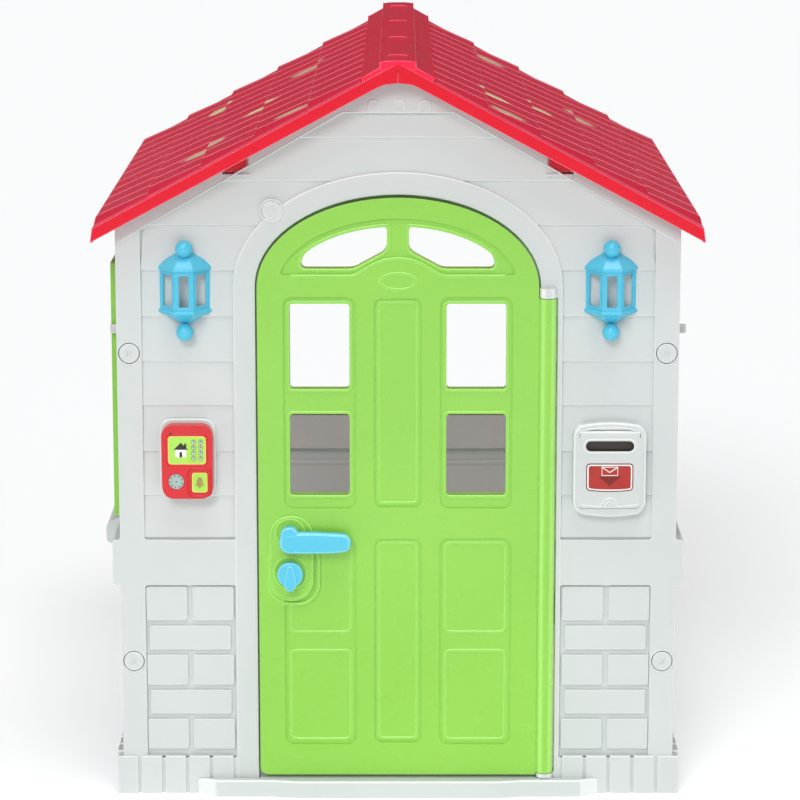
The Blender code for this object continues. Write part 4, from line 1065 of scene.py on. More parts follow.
def ridgeCap():
    look = {"half": 0.052, "line": 1.1020, "strip": 0.0257, "top": 1.0985, "ribTop": 1.100, "ribPitch": 0.290,
            "rim": 0.022}
    cap = bmesh.new()
    slope = roofLook["slope"]
    right = [(look["half"], look["line"] - slope * look["half"]),
             (look["strip"] + 0.0008, look["line"] - slope * look["strip"]),
             (look["strip"], look["top"] - 0.0040), (look["strip"] - 0.0022, look["top"] - 0.0016),
             (look["strip"] - 0.0060, look["top"] - 0.0006), (0.010, look["top"])]
    under = [(0.006, 1.0880), (look["half"] - 0.0015, look["line"] - 0.0095 - slope * look["half"])]
    profile = right + mirrored(right[::-1]) + mirrored(under[::-1]) + under
    add(cap, soften(prism("front", profile, -0.5150, 0.5150), 0.0010, 2))
    lines = [[(hand * x, y) for y in (-0.515, 0.515)] for hand in (-1, 1) for x in (look["strip"] - 0.001,)]
    add(cap, beads("plan", look["top"] - 0.0022, lines, 0.0015, closed=False))
    edgeZ = look["line"] - slope * look["half"]
    lines = [[(hand * (look["half"] - 0.0012), y) for y in (-0.515, 0.515)] for hand in (-1, 1)]
    add(cap, beads("plan", edgeZ + 0.0006, lines, 0.0012, closed=False))
    arch = [(-0.0165, look["top"] - 0.004), (-0.0150, look["top"] - 0.0002),
            (-0.0110, look["ribTop"] - 0.0003),
            (0.0, look["ribTop"]), (0.0110, look["ribTop"] - 0.0003), (0.0150, look["top"] - 0.0002),
            (0.0165, look["top"] - 0.004)]
    rib = soften(prism("front", arch, -1.5 * look["ribPitch"] - 0.006, -1.5 * look["ribPitch"] + 0.006),
                 0.0008, 3, over=40)
    add(cap, rowsOf(rib, 4, (0.0, look["ribPitch"], 0.0)))
    for end in (-1, 1):
        rimX = look["strip"] - 0.001
        rimTop = [(rimX, look["top"] - 0.0140), (rimX, look["top"] - 0.0035),
                  (rimX - 0.003, look["top"] - 0.0012),
                  (0.0, look["top"] - 0.0002)]
        outline = rimTop + mirrored(rimTop[::-1][1:])
        levels = sorted((end * 0.5166, end * 0.5100))
        add(cap, soften(prism("front", outline, *levels), 0.0010, 2, over=40))
    return finishPiece("ridge_cap_shell", cap, finishes["ridge"], "house", ["ridge_cap"])


roofHalf("roof_left", -1)
roofHalf("roof_right", 1)
ridgeCap()
print("roof: tiles, fascias and ridge cap done")


# Door: a skin with sunk panels, beads round the windows, the handle's plate and the hinge barrel

doorLook = {
    "front": -0.493, "floor": -0.4902, "back": -0.473, "half": 0.205, "rise": 0.131, "low": 0.030,
    "corner": 0.012,
    "windowX": (0.0706, 0.1580), "upper": (0.617, 0.743), "lower": (0.458, 0.5795), "fanLow": 0.795,
    "columnX": (0.0615, 0.1670), "upperColumn": (0.4385, 0.7530), "lowerColumn": (0.0770, 0.3930),
    "centreX": 0.0345, "centreUpper": (0.4400, 0.7510), "centreLower": (0.0800, 0.3920),
    "beadX": (0.0695, 0.1590), "panels": ((0.0850, 0.2215), (0.2500, 0.3860)),
    "plateX": -0.157, "plateHalf": 0.033, "plateZ": (0.298, 0.428), "plateFront": -0.497,
    "hinge": (0.2183, -0.4875), "barrel": 0.0125, "barrelZ": (0.0330, 0.7507),
}


def doorOutline(inset=0.0):
    look = doorLook
    half, low = look["half"] - inset, look["low"] + inset
    corner = max(look["corner"] - inset, 0.004)
    foot = [(-half + corner * (1 - cos(radians(a))), low + corner * (1 - sin(radians(a))))
            for a in (0, 18, 36, 54, 72, 90)]
    return foot + [(half, low)] + archAt(half, look["rise"] - inset)


def filleted(points, radius, sharp=20, steps=5):
    # rounds the corners of a closed outline that turn by more than an angle
    made = []
    for index, point in enumerate(points):
        before, after = points[index - 1], points[(index + 1) % len(points)]
        corner = Vector(point)
        back, ahead = Vector(before) - corner, Vector(after) - corner
        if degrees(pi - back.angle(ahead)) < sharp:
            made.append(point)
            continue
        reach = min(radius, 0.48 * back.length, 0.48 * ahead.length)
        start, end = corner + back.normalized() * reach, corner + ahead.normalized() * reach
        for step in range(steps + 1):
            t = step / steps
            made.append(tuple(start * (1 - t) ** 2 + corner * 2 * t * (1 - t) + end * t * t))
    return made


def crownLine(lift=0.0):
    # the line under the fanlights, from -X to +X, that rises over the badge
    rise = [(0.0690, 0.7838), (0.0600, 0.7858), (0.0480, 0.7935), (0.0360, 0.8012), (0.0200, 0.8075),
            (0.0, 0.8100)]
    return [(x, z + lift) for x, z in mirrored(rise) + rise[::-1][1:]]


def fanRegion():
    half, rise = doorLook["half"] - 0.0300, doorLook["rise"] - 0.0300
    arch = [(half * cos(pi * i / 40), doorway["spring"] + rise * sin(pi * i / 40)) for i in range(41)]
    arch = [(x, z) for x, z in arch if z > 0.7900]
    foot = 0.7858
    return filleted([(arch[0][0] - 0.0006, foot)] + arch + [(-arch[0][0] + 0.0006, foot)] + crownLine(0.0020),
                    0.012, 30)


def fanlight(hand, grow=0.0):
    inner, outer = 0.0161 - grow, 0.1415 + grow
    low = doorLook["fanLow"] - grow
    half, rise = doorLook["half"] - 0.042 + grow, doorLook["rise"] - 0.042 + grow
    points = [(outer - 0.004, low), (0.064, low), (0.0225, low + 0.0225), (inner, low + 0.030)]
    for step in range(13):
        x = inner + (outer - 0.006 - inner) * step / 12
        points.append((x, doorway["spring"] + rise * sqrt(1 - (x / half) ** 2)))
    points.append((outer, low + 0.008))
    return [(hand * u, v) for u, v in filleted(points, 0.0075, 22)]


def doorPanel():
    look = doorLook
    windows, lips, sunk = [], [], []
    for hand in (-1, 1):
        spanX = handed(look["windowX"], hand)
        for spanZ in (look["upper"], look["lower"]):
            windows.append(rounded(spanX, spanZ, 0.005, 4))
            lips.append(rounded(grown(spanX, 0.0024), grown(spanZ, 0.0024), 0.0072, 5))
        windows.append(fanlight(hand))
        lips.append(fanlight(hand, 0.0026))
        columnX = handed(look["columnX"], hand)
        sunk += [rounded(columnX, look["upperColumn"], 0.013, 6),
                 rounded(columnX, look["lowerColumn"], 0.013, 6)]
    centre = (-look["centreX"], look["centreX"])
    sunk.append(fanRegion())
    sunk += [rounded(centre, look["centreUpper"], 0.010, 6), rounded(centre, look["centreLower"], 0.010, 6)]

    door = bmesh.new()
    face = prism("front", doorOutline(), look["front"], look["front"] + 0.0045, holes=sunk)

    def onRim(edge):
        middle = (edge.verts[0].co + edge.verts[1].co) / 2
        if not atFront(look["front"])(edge):
            return False
        if abs(middle.x) > look["half"] - 0.003 or middle.z < look["low"] + 0.003:
            return True
        if middle.z < doorway["spring"]:
            return False
        reach = (middle.x / look["half"]) ** 2 + ((middle.z - doorway["spring"]) / look["rise"]) ** 2
        return reach > 0.96
    soften(face, 0.0028, 4, onRim)
    soften(face, 0.0025, 4, atFront(look["front"]), over=60)
    add(door, face)
    floor = prism("front", doorOutline(0.004), look["floor"], look["floor"] + 0.0026, holes=windows)
    add(door, floor)
    rim = prism("front", doorOutline(0.0004), look["front"] + 0.0025, look["back"],
                holes=[doorOutline(0.008)])
    add(door, soften(rim, 0.0010, 2, over=60))
    for hole, lip in zip(windows, lips):
        add(door, prism("front", lip, look["floor"] - 0.0004, look["back"], holes=[hole]))
    add(door, beads("front", look["floor"] + 0.0006, lips, 0.0026, sides=14))

    panelBeads = []
    for hand in (-1, 1):
        for spanZ in look["panels"]:
            panelBeads.append(rounded(handed(look["beadX"], hand), spanZ, 0.008, 6))
    for spanZ in (look["centreUpper"], look["centreLower"]):
        panelBeads.append(rounded(grown(centre, -0.0062), grown(spanZ, -0.0062), 0.006, 5))
    add(door, beads("front", look["floor"] + 0.0012, panelBeads, 0.0027, sides=14))

    add(door, beads("front", look["front"] + 0.0016, [ellipse(0, 0.776, 0.0262, 0.0120, 48)], 0.0028,
                    sides=14))
    crown = [(-0.1560, 0.7838)] + crownLine() + [(0.1560, 0.7838)]
    add(door, beads("front", look["front"] + 0.0016, [crown], 0.0028, closed=False, sides=14))

    plateX = (look["plateX"] - look["plateHalf"], look["plateX"] + look["plateHalf"])
    plate = rounded(plateX, look["plateZ"], look["plateHalf"] - 0.0005, 12)
    plate = prism("front", plate, look["plateFront"] + 0.0016, look["back"])
    add(door, soften(plate, 0.0018, 3, notAt("front", look["back"])))
    lowerPlate = rounded((plateX[0], plateX[1] + 0.0070),
                         (look["plateZ"][0] - 0.0050, look["plateZ"][1] - 0.0400),
                         look["plateHalf"] - 0.003, 12)
    add(door, beads("front", look["front"] + 0.0010, [lowerPlate], 0.0026, sides=14))
    for node, radius in (("handle_spindle", 0.0205), ("lock_shaft", 0.0235)):
        ring = ellipse(*middleOf(node), radius, count=48)
        add(door, beads("front", look["plateFront"] + 0.0024, [ring], 0.0026, sides=14))
    plateRim = rounded(grown(plateX, -0.0030), grown(look["plateZ"], -0.0030), look["plateHalf"] - 0.004, 12)
    add(door, beads("front", look["plateFront"] + 0.0030, [plateRim], 0.0028, sides=14))

    barrel = prism("plan", ellipse(*look["hinge"], look["barrel"], count=40), *look["barrelZ"])
    add(door, soften(barrel, 0.0012, 2, over=60))
    web = prism("plan", rectangle((look["half"] - 0.010, look["hinge"][0] - 0.006),
                                  (look["front"] + 0.0012, -0.4770)),
                *look["barrelZ"])
    add(door, web)
    for z in (0.236, 0.430, 0.600):
        add(door, prism("front", rectangle((-0.200, 0.200), (z - 0.003, z + 0.003)), look["floor"] + 0.001,
                        look["back"]))
    finishPiece("door_leaf", door, finishes["green"], "door", ["door_panel"])


def levers():
    look = {"hub": 0.0133, "soft": 0.0062}
    x, z = middleOf("handle_spindle")
    paddle = [(-0.0060, 0.0035), (0.020, 0.0054), (0.050, 0.0046), (0.076, 0.0030), (0.0845, 0.0005),
              (0.0893, -0.0060),
              (0.0903, -0.0120), (0.0885, -0.0180), (0.0835, -0.0238), (0.066, -0.0266), (0.036, -0.0272),
              (0.004, -0.0272), (-0.0070, -0.0254), (-0.0130, -0.0195), (-0.0152, -0.0105),
              (-0.0130, -0.0020)]
    outline = [(x + u, z + v) for u, v in smoothLoop(paddle, 3)]
    for name, sign in (("handle_lever_outside", -1), ("handle_lever_inside", 1)):
        low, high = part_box(name)
        far, near = (low.y, high.y) if sign < 0 else (high.y, low.y)
        lever = bmesh.new()
        bar = prism("front", outline, far, between(far, near, 0.62))
        add(lever, soften(bar, look["soft"], 7, atFront(far), over=50))
        hub = prism("front", ellipse(x, z, look["hub"], count=48), far - 0.0005 * sign, near)
        add(lever, soften(hub, 0.0040, 5, over=50))
        finishPiece(name + "_grip", lever, finishes["blueRounded"], "handle", [name])


def knobs():
    x, z = middleOf("lock_shaft")
    for name, sign in (("lock_knob_outside", -1), ("lock_knob_inside", 1)):
        low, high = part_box(name)
        far, near = (low.y + 0.003, high.y) if sign < 0 else (high.y - 0.003, low.y)
        knob = bmesh.new()
        disc = prism("front", ellipse(x, z, 0.0188, count=56), far, near)
        add(knob, soften(disc, 0.0028, 4, over=50))
        foot = low.z
        fin = smoothLoop([(x - 0.0050, foot + 0.0012), (x + 0.0050, foot + 0.0012), (x + 0.0092, z - 0.0130),
                          (x + 0.0070, z + 0.0020), (x + 0.0030, z + 0.0140), (x - 0.0030, z + 0.0140),
                          (x - 0.0070, z + 0.0020), (x - 0.0092, z - 0.0130)], 3)
        bar = prism("front", fin, far + sign * 0.003, near + sign * 0.004)
        add(knob, soften(bar, 0.0040, 5, over=50))
        finishPiece(name + "_cap", knob, finishes["blueRounded"], "lock", [name])


doorPanel()
levers()
knobs()
print("door: leaf, levers and lock knobs done")


# Lanterns: half a hexagon against the wall, open windows, a pyramid above and below and a ball on each

def lanternPlan(x, back, radius):
    deep = 0.80 * radius
    return [(x - radius, back), (x - 0.36 * radius, back - deep), (x + 0.36 * radius, back - deep),
            (x + radius, back)]


def lanterns():
    look = {"rim": 0.0400, "body": 0.0365, "ball": 0.0128, "wall": 0.0035,
            "lower": ((0.0110, 0.7135), (0.0135, 0.7160), (0.0385, 0.7295), (0.0400, 0.7310),
                      (0.0400, 0.7338), (0.0375, 0.7352)),
            "upper": ((0.0375, 0.7915), (0.0400, 0.7930), (0.0400, 0.7962), (0.0385, 0.7982),
                      (0.0290, 0.8072),
                      (0.0155, 0.8150), (0.0115, 0.8185)),
            "window": (0.7405, 0.7868)}
    for name in ("lantern_left", "lantern_right"):
        low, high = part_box(name)
        x, back = (low.x + high.x) / 2, high.y
        lantern = bmesh.new()
        for rings in (look["lower"], look["upper"]):
            part = loft("plan", [(lanternPlan(x, back, radius), level) for radius, level in rings])
            add(lantern, soften(part, 0.0009, 3, over=18))
        zLow, zHigh = look["lower"][-1][1] - 0.001, look["upper"][0][1] + 0.001
        plan = lanternPlan(x, back, look["body"])
        for start, end in zip(plan, plan[1:]):
            length = sqrt((end[0] - start[0]) ** 2 + (end[1] - start[1]) ** 2)
            margin = 0.0062 if length < 0.03 else 0.0068
            facet = prism("front", rectangle((0, length), (zLow, zHigh)), 0.0, look["wall"],
                          holes=[rounded((margin, length - margin), look["window"], 0.0022, 4)])
            soften(facet, 0.0009, 3, over=50)
            along = Vector((end[0] - start[0], end[1] - start[1], 0)).normalized()
            inward = Vector((-along.y, along.x, 0))
            turn = Matrix(((along.x, inward.x, 0, start[0]), (along.y, inward.y, 0, start[1]), (0, 0, 1, 0),
                           (0, 0, 0, 1)))
            add(lantern, facet, turn)
            lip = beads("front", 0.0001, [rounded((margin - 0.001, length - margin + 0.001),
                                                  grown(look["window"], 0.001), 0.003, 4)], 0.0009, sides=8)
            add(lantern, lip, turn)
        for corner in plan:
            inset = (between(corner[0], x, 0.05), between(corner[1], back, 0.02))
            mullion = prism("plan", ellipse(*inset, 0.0019, count=12), zLow, zHigh)
            add(lantern, mullion)
        for level in (high.z - look["ball"], low.z + look["ball"]):
            rings = []
            for step in range(1, 14):
                angle = pi * step / 14
                ring = ellipse(x, back - 0.0142, look["ball"] * sin(angle), count=28)
                rings.append((ring, level - look["ball"] * cos(angle)))
            add(lantern, loft("plan", rings))
        finishPiece(name + "_shell", lantern, finishes["blue"], "house", [name])


lanterns()
print("lanterns done")


# Bell intercom: tapered glossy case, picture panel with keys, slotted speaker and a push button

def intercom():
    low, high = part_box("intercom_case")
    x, z = (low.x + high.x) / 2, (low.z + high.z) / 2
    front, back = low.y, high.y
    halfW, halfH = (high.x - low.x) / 2, (high.z - low.z) / 2
    buttonLow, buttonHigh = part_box("bell_button")
    buttonX, buttonZ = (buttonLow.x, buttonHigh.x), (buttonLow.z, buttonHigh.z)
    grilleLow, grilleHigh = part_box("speaker_grille")
    speaker = middleOf("speaker_grille")
    screenLow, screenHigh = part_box("intercom_screen")
    screenX, screenZ = (screenLow.x, screenHigh.x), (screenLow.z, screenHigh.z)

    def tapered(points):
        return [(x + (u - x) * (0.975 + 0.025 * min(1, (v - low.z) / halfH)), v) for u, v in points]
    outline = tapered(rounded((low.x, high.x), (low.z, high.z), 0.0170, 9))
    pad = rounded((low.x - 0.0035, high.x + 0.0035), (low.z - 0.0030, high.z + 0.0062), 0.0190, 9)
    padShape = soften(prism("front", pad, -0.4905, back + 0.002), 0.0024, 4, notAt("front", back + 0.002),
                      over=50)
    whitePiece("intercom_pad", padShape)
    holes = [rounded(grown(buttonX, 0.0006), grown(buttonZ, 0.0006), 0.0042, 4),
             ellipse(*speaker, 0.0113, count=40)]
    case = prism("front", outline, front, back, holes=holes)

    def outerEdge(edge):
        return atFront(front)(edge) and any(
            max(abs(v.co.x - x) / halfW, abs(v.co.z - z) / halfH) > 0.85 for v in edge.verts)
    soften(case, 0.0052, 6, outerEdge, over=50)
    soften(case, 0.0008, 3, atFront(front), over=60)
    buttonRim = rounded(grown(buttonX, 0.0052), (buttonZ[0] - 0.0052, buttonZ[1] + 0.0058), 0.0085, 7)
    screenRim = rounded(grown(screenX, 0.0016), grown(screenZ, 0.0016), 0.006, 6)
    brow = [(x - 0.011, screenZ[1] + 0.0058), (x + 0.011, screenZ[1] + 0.0058)]
    add(case, beads("front", front + 0.0006, [buttonRim], 0.0017))
    add(case, beads("front", front + 0.0004, [screenRim], 0.0011))
    add(case, beads("front", front + 0.0006, [brow], 0.0012, closed=False))
    finishPiece("intercom_shell", case, finishes["intercomRed"], "house", ["intercom_case"])

    marks = bmesh.new()
    eye = ellipse(low.x + 0.0135, high.z - 0.0128, 0.0026, 0.0016, 20)
    add(marks, soften(prism("front", eye, front - 0.0002, front + 0.001), 0.0002, 1))
    topSlot = rounded((x - 0.0060, x + 0.0080), (high.z - 0.0016, high.z - 0.0002), 0.0006, 2)
    add(marks, prism("front", topSlot, front + 0.0062, front + 0.0100))
    finishPiece("intercom_hole_marks", marks, finishes["ink"], "house")

    border = prism("front", rounded(screenX, screenZ, 0.0050, 6), screenLow.y + 0.0002, screenHigh.y)
    finishPiece("screen_border", soften(border, 0.0002, 1, over=60), finishes["straw"], "house",
                ["intercom_screen"])
    face = prism("front", rounded(grown(screenX, -0.0012), grown(screenZ, -0.0012), 0.0042, 6), screenLow.y,
                 screenLow.y + 0.0006)
    finishPiece("screen_face", soften(face, 0.0002, 1, over=60), finishes["lime"], "house")
    keyX, keyZ = (screenX[1] - 0.0180, 0.0103), (screenZ[1] - 0.0085, -0.0082)
    key = prism("front", ellipse(keyX[0], keyZ[0], 0.0029, count=20), screenLow.y - 0.0004,
                screenLow.y + 0.0002)
    keys = rowsOf(soften(key, 0.0003, 2), 2, (keyX[1], 0, 0), 4, (0, 0, keyZ[1]))
    finishPiece("screen_keys", keys, finishes["keyGrey"], "house")
    rings = beads("front", screenLow.y - 0.0001, [ellipse(keyX[0], keyZ[0], 0.0030, count=20)], 0.0004,
                  sides=6)
    dot = prism("front", ellipse(keyX[0], keyZ[0] + 0.0006, 0.0011, count=12), screenLow.y - 0.0006,
                screenLow.y)
    add(rings, dot)
    picture = rowsOf(rings, 2, (keyX[1], 0, 0), 4, (0, 0, keyZ[1]))
    markX, markZ = screenX[0] + 0.0190, (screenZ[0] + screenZ[1]) / 2
    roofMark = [(markX - 0.0105, markZ + 0.0010), (markX + 0.0105, markZ + 0.0010), (markX, markZ + 0.0115)]
    chimneyMark = rectangle((markX + 0.0050, markX + 0.0080), (markZ + 0.0040, markZ + 0.0100))
    doorMark = rounded((markX - 0.0020, markX + 0.0020), (markZ - 0.0100, markZ - 0.0025), 0.0008, 2)
    add(picture, prism("front", roofMark, screenLow.y - 0.0004, screenLow.y + 0.0002))
    add(picture, prism("front", chimneyMark, screenLow.y - 0.0004, screenLow.y + 0.0002))
    add(picture, prism("front", doorMark, screenLow.y - 0.0006, screenLow.y))
    finishPiece("screen_house_mark", picture, finishes["ink"], "house")
    wallsMark = prism("front", rectangle((markX - 0.0080, markX + 0.0080), (markZ - 0.0100, markZ + 0.0010)),
                      screenLow.y - 0.0003, screenLow.y + 0.0002)
    finishPiece("screen_house_walls", wallsMark, finishes["inkWhite"], "house")

    grille = soften(prism("front", ellipse(*speaker, 0.0111, count=44), grilleLow.y, grilleHigh.y), 0.0005, 2,
                    over=60)
    for radius in (0.0044, 0.0066):
        add(grille, beads("front", grilleLow.y + 0.0001, [ellipse(*speaker, radius, count=32)], 0.0004,
                          sides=6))
    finishPiece("speaker_grille_disc", grille, finishes["grey"], "house", ["speaker_grille"])
    hole = prism("front", ellipse(0, 0, 0.0011, count=12), -0.0003, 0.0010)
    ring = runTree(hole, "ring", {"Count": 9, "Radius": 0.0088,
                                  "Centre": (speaker[0], grilleLow.y, speaker[1]), "First Angle": 0.4})
    add(ring, prism("front", ellipse(*speaker, 0.0011, count=12), grilleLow.y - 0.0006, grilleLow.y + 0.001))
    finishPiece("speaker_holes", ring, finishes["ink"], "house")

    button = prism("front", rounded(buttonX, buttonZ, 0.0038, 5), buttonLow.y, buttonHigh.y - 0.001)
    finishPiece("bell_button_cap", soften(button, 0.0008, 3, over=60), finishes["straw"], "bell_button",
                ["bell_button"])
    face = prism("front", rounded(grown(buttonX, -0.0020), grown(buttonZ, -0.0020), 0.0030, 5),
                 buttonLow.y - 0.0002, buttonLow.y + 0.0006)
    finishPiece("bell_button_face", soften(face, 0.0002, 1, over=60), finishes["lime"], "bell_button")
    bx, bz = sum(buttonX) / 2, sum(buttonZ) / 2
    bell = smoothLoop([(-0.0060, -0.0052), (0.0060, -0.0052), (0.0046, -0.0020), (0.0040, 0.0035),
                       (0.0016, 0.0072),
                       (-0.0016, 0.0072), (-0.0040, 0.0035), (-0.0046, -0.0020)], 3)
    mark = prism("front", [(bx + u, bz + v + 0.0006) for u, v in bell], buttonLow.y - 0.0004, buttonLow.y)
    add(mark, prism("front", ellipse(bx, bz - 0.0064, 0.0017, count=14), buttonLow.y - 0.0004, buttonLow.y))
    finishPiece("bell_mark", mark, finishes["brownInk"], "bell_button")


# Mailbox: bowed frame, and a swinging door with slot, label and finger tab

def bowed(u, v, radius, bow, steps=8):
    # a rounded rectangle whose top and bottom edges bulge
    middle, half = (u[0] + u[1]) / 2, (u[1] - u[0]) / 2
    made = rounded(u, v, radius, steps)
    top = [(middle + half * s, v[1]) for s in (0.6, 0.3, 0.0, -0.3, -0.6)]
    foot = [(middle + half * s, v[0]) for s in (-0.6, -0.3, 0.0, 0.3, 0.6)]
    count = steps + 1
    points = made[:2 * count] + top + made[2 * count:] + foot
    centre = (v[0] + v[1]) / 2

    def bulge(pu, pv):
        sink = bow * ((pu - middle) / half) ** 2
        return (pu, pv - sink) if pv > centre else (pu, pv + sink)
    return [bulge(pu, pv) for pu, pv in points]


def mailbox():
    look = {"back": -0.4823, "corner": 0.016, "bow": 0.0065, "tubHalf": 0.047, "tubZ": (0.437, 0.559),
            "shadeSheet": (-0.4912, -0.4900), "face": -0.5022, "roll": 0.0045, "slotHalf": 0.0355,
            "slotZ": (0.0275, 0.0435), "slotCorner": 0.0078}
    low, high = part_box("mailbox_case")
    x = (low.x + high.x) / 2
    leafLow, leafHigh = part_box("mailbox_door")
    front, back = low.y, look["back"]
    leafX, leafZ = grown((leafLow.x, leafHigh.x), 0.0025), (leafLow.z - 0.0022, leafHigh.z)
    case = prism("front", bowed((low.x, high.x), (low.z, high.z), look["corner"], look["bow"]), front, back,
                 holes=[rounded((leafLow.x - 0.0006, leafHigh.x + 0.0006), (low.z + 0.0126, high.z - 0.0118),
                                0.006, 4)])

    def outerEdge(edge):
        return atFront(front)(edge) and any(
            abs(v.co.x - x) > 0.0460 or v.co.z > high.z - 0.0118 or v.co.z < low.z + 0.0118
            for v in edge.verts)
    soften(case, 0.0040, 5, outerEdge, over=50)
    tub = (x - look["tubHalf"], x + look["tubHalf"]), look["tubZ"]
    add(case, prism("front", rectangle(*tub), back - 0.004, high.y,
                    holes=[rectangle(grown(tub[0], -0.002), grown(tub[1], -0.002))]))
    add(case, prism("front", rectangle(*tub), high.y - 0.002, high.y))
    # painted shade: a dark sheet behind the slot stands in for the shaded inside of the house
    shadeSheet = prism("front", rounded(grown(tub[0], -0.003), grown(tub[1], -0.003), 0.004), *look["shadeSheet"])
    finishPiece("mailbox_painted_shade", shadeSheet, finishes["paintedSlotShade"], "house")
    brow = [(x + u, high.z - 0.0075 - 0.0060 * (u / 0.045) ** 2)
            for u in (-0.045, -0.030, -0.015, 0.0, 0.015, 0.030, 0.045)]
    add(case, beads("front", front + 0.0004, [brow], 0.0014, closed=False))
    whitePiece("mailbox_frame", case, "mailbox_case")

    face, z = look["face"], (low.z + high.z) / 2
    labelLow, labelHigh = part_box("mailbox_label")
    hinge = middleOf("mailbox_hinge_pin", "yz")
    slotX = (x - look["slotHalf"], x + look["slotHalf"])
    slotZ = (z + look["slotZ"][0], z + look["slotZ"][1])
    slot = rounded(slotX, slotZ, look["slotCorner"], 8)
    foot = rounded(leafX, (leafZ[0], hinge[1]), 0.0130, 7)
    foot = [(u, max(v, leafZ[0] + 0.0045 * ((u - x) / 0.0465) ** 2)) for u, v in foot]
    leaf = prism("front", foot, face, face + 0.0016, holes=[slot])
    soften(leaf, 0.0011, 4, atFront(face), over=60)
    lining = rounded((leafLow.x, leafHigh.x), (leafLow.z, hinge[1]), 0.006)
    add(leaf, prism("front", lining, face + 0.0010, leafHigh.y - 0.005, holes=[slot]))
    slotLip = rounded(grown(slotX, 0.0016), grown(slotZ, 0.0016), 0.0092, 8)
    add(leaf, beads("front", face + 0.0010, [slotLip], 0.0020, sides=12))
    add(leaf, soften(prism("side", ellipse(*hinge, look["roll"], count=28), leafLow.x, leafHigh.x), 0.0008, 2,
                     over=60))
    tabZ = leafLow.z + 0.0040
    tab = prism("front", ellipse(x, tabZ - 0.0030, 0.0078, 0.0110, 25, 0, 180), leafLow.y, face + 0.002)
    add(leaf, soften(tab, 0.0016, 4, over=40))
    tabLip = ellipse(x, tabZ - 0.0030, 0.0118, 0.0145, 25, 0, 180)
    add(leaf, beads("front", face + 0.0004, [tabLip], 0.0015, closed=False, sides=12))
    footRim = sorted((u, v + 0.0042) for u, v in foot if v < leafZ[0] + 0.0160 and 0.0150 < u - x < 0.0440)
    footRim = [(x + 0.0130, leafZ[0] + 0.0046)] + footRim
    rims = [footRim, [(2 * x - u, v) for u, v in footRim]]
    add(leaf, beads("front", face + 0.0006, rims, 0.0015, closed=False, sides=12))
    finishPiece("mailbox_door_leaf", leaf, finishes["white"], "mailbox_door",
                ["mailbox_door"])

    labelX, labelZ = (labelLow.x, labelHigh.x), (labelLow.z, labelHigh.z)

    def labelShape(inset):
        points = rounded(grown(labelX, -inset), grown(labelZ, -inset), 0.0052 - inset * 0.6, 6)
        middle, half = sum(labelX) / 2, (labelX[1] - labelX[0]) / 2
        points += [(middle + half * step / 10, labelZ[0] + inset)
                   for step in (8, 6, 4, 2, 0, -2, -4, -6, -8)][::-1]
        return [(u, v + 0.0022 * ((u - middle) / half) ** 2 if v < labelZ[0] + 0.012 else v) for u,
                v in points]
    layers = (("label_edge", 0.0, 0.0004, "darkRed"), ("label_line", 0.0016, 0.0006, "inkWhite"),
              ("label_field", 0.0036, 0.0008, "labelRed"))
    for name, inset, lift, finish in layers:
        plate = prism("front", labelShape(inset), labelLow.y - lift, labelHigh.y)
        finishPiece(name, plate, finishes[finish], "mailbox_door",
                    ["mailbox_label"] if inset == 0.0 else ())
    faceY = labelLow.y - 0.0009
    arrow = [(x - 0.0165, labelZ[1] - 0.0195), (x, labelZ[1] - 0.0340), (x + 0.0165, labelZ[1] - 0.0195)]
    finishPiece("label_arrow", prism("front", arrow, faceY, faceY + 0.0006), finishes["darkRed"],
                "mailbox_door")
    letterX, letterZ = (x - 0.0115, x + 0.0115), (labelZ[1] - 0.0178, labelZ[1] - 0.0052)
    letter = beads("front", faceY, [rectangle(letterX, letterZ)], 0.0008, sides=6)
    flap = [(letterX[0], letterZ[1]), (x, letterZ[0] + 0.0045), (letterX[1], letterZ[1])]
    add(letter, beads("front", faceY, [flap], 0.0008, closed=False, sides=6))
    finishPiece("label_envelope", letter, finishes["inkWhite"], "mailbox_door")


intercom()
mailbox()
print("intercom and mailbox done")


# Floor, light and camera

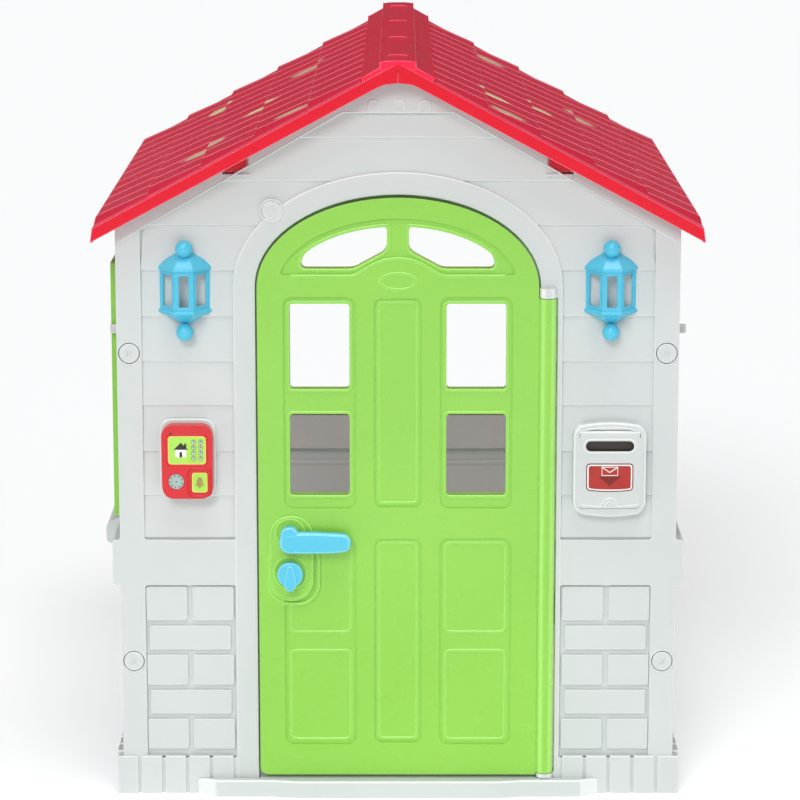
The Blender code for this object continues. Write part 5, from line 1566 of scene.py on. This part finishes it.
def studio():
    look = {"floor": "f8f9fa", "glow": 0.23, "world": (0.42, 0.10), "inside": 1.6, "low": 2.6, "suns": (
        # strength, height, side, softness
        ("frontLight", 1.2, 34, -14, 22), ("topLight", 0.95, 72, 20, 26))}
    floor = bmesh.new()
    bmesh.ops.create_grid(floor, x_segments=8, y_segments=8, size=60.0)
    ground = meshObject("studio_floor", floor)
    made, _, shader, _ = blankFinish("paleStudioFloor")
    shader.inputs["Base Color"].default_value = linearColour(look["floor"])
    shader.inputs["Roughness"].default_value = 0.9
    shader.inputs["Specular IOR Level"].default_value = 0.1
    shader.inputs["Emission Color"].default_value = (1, 1, 1, 1)
    shader.inputs["Emission Strength"].default_value = look["glow"]
    ground.data.materials.append(made)
    ground.location.z = -0.0005

    world = bpy.data.worlds.new("studioWorld")
    world.use_nodes = True
    air = world.node_tree
    direction = addNode(air, "ShaderNodeSeparateXYZ",
                        {"Vector": addNode(air, "ShaderNodeTexCoord").outputs["Generated"]})
    # dimmer behind the house
    fade = addNode(air, "ShaderNodeMapRange", {"Value": direction.outputs["Y"]},
                   {"From Min": -0.4, "From Max": 0.7, "To Min": look["world"][0],
                    "To Max": look["world"][1]})
    backdrop = air.nodes["Background"]
    backdrop.inputs["Color"].default_value = (1, 1, 1, 1)
    air.links.new(fade.outputs["Result"], backdrop.inputs["Strength"])
    bpy.context.scene.world = world
    for name, strength, height, side, softness in look["suns"]:
        light = bpy.data.lights.new(name, "SUN")
        light.energy, light.angle = strength, radians(softness)
        lamp = bpy.data.objects.new(name, light)
        bpy.context.scene.collection.objects.link(lamp)
        lamp.rotation_euler = (radians(90 - height), 0, radians(side))
    for name, power, size, location, turn in (
            ("insideLight", look["inside"], 0.35, (0, -0.15, 0.86), 38),
            ("lowLight", look["low"], 1.1, (0, -1.75, 0.10), 90)):
        light = bpy.data.lights.new(name, "AREA")
        light.energy, light.size = power, size
        lamp = bpy.data.objects.new(name, light)
        lamp.location, lamp.rotation_euler = location, (radians(turn), 0, 0)
        bpy.context.scene.collection.objects.link(lamp)

    view = {"lens": 148.5, "location": (0.003, -5.214, 1.558), "pitch": 78.54}
    camera = bpy.data.cameras.new("photoCamera")
    camera.lens, camera.sensor_width, camera.clip_end = view["lens"], 36.0, 200.0
    holder = bpy.data.objects.new("photoCamera", camera)
    holder.location = view["location"]
    holder.rotation_euler = (radians(view["pitch"]), 0, 0)
    bpy.context.scene.collection.objects.link(holder)
    bpy.context.scene.camera = holder
    bpy.context.scene.view_settings.view_transform = "Standard"


studio()
print("studio done")
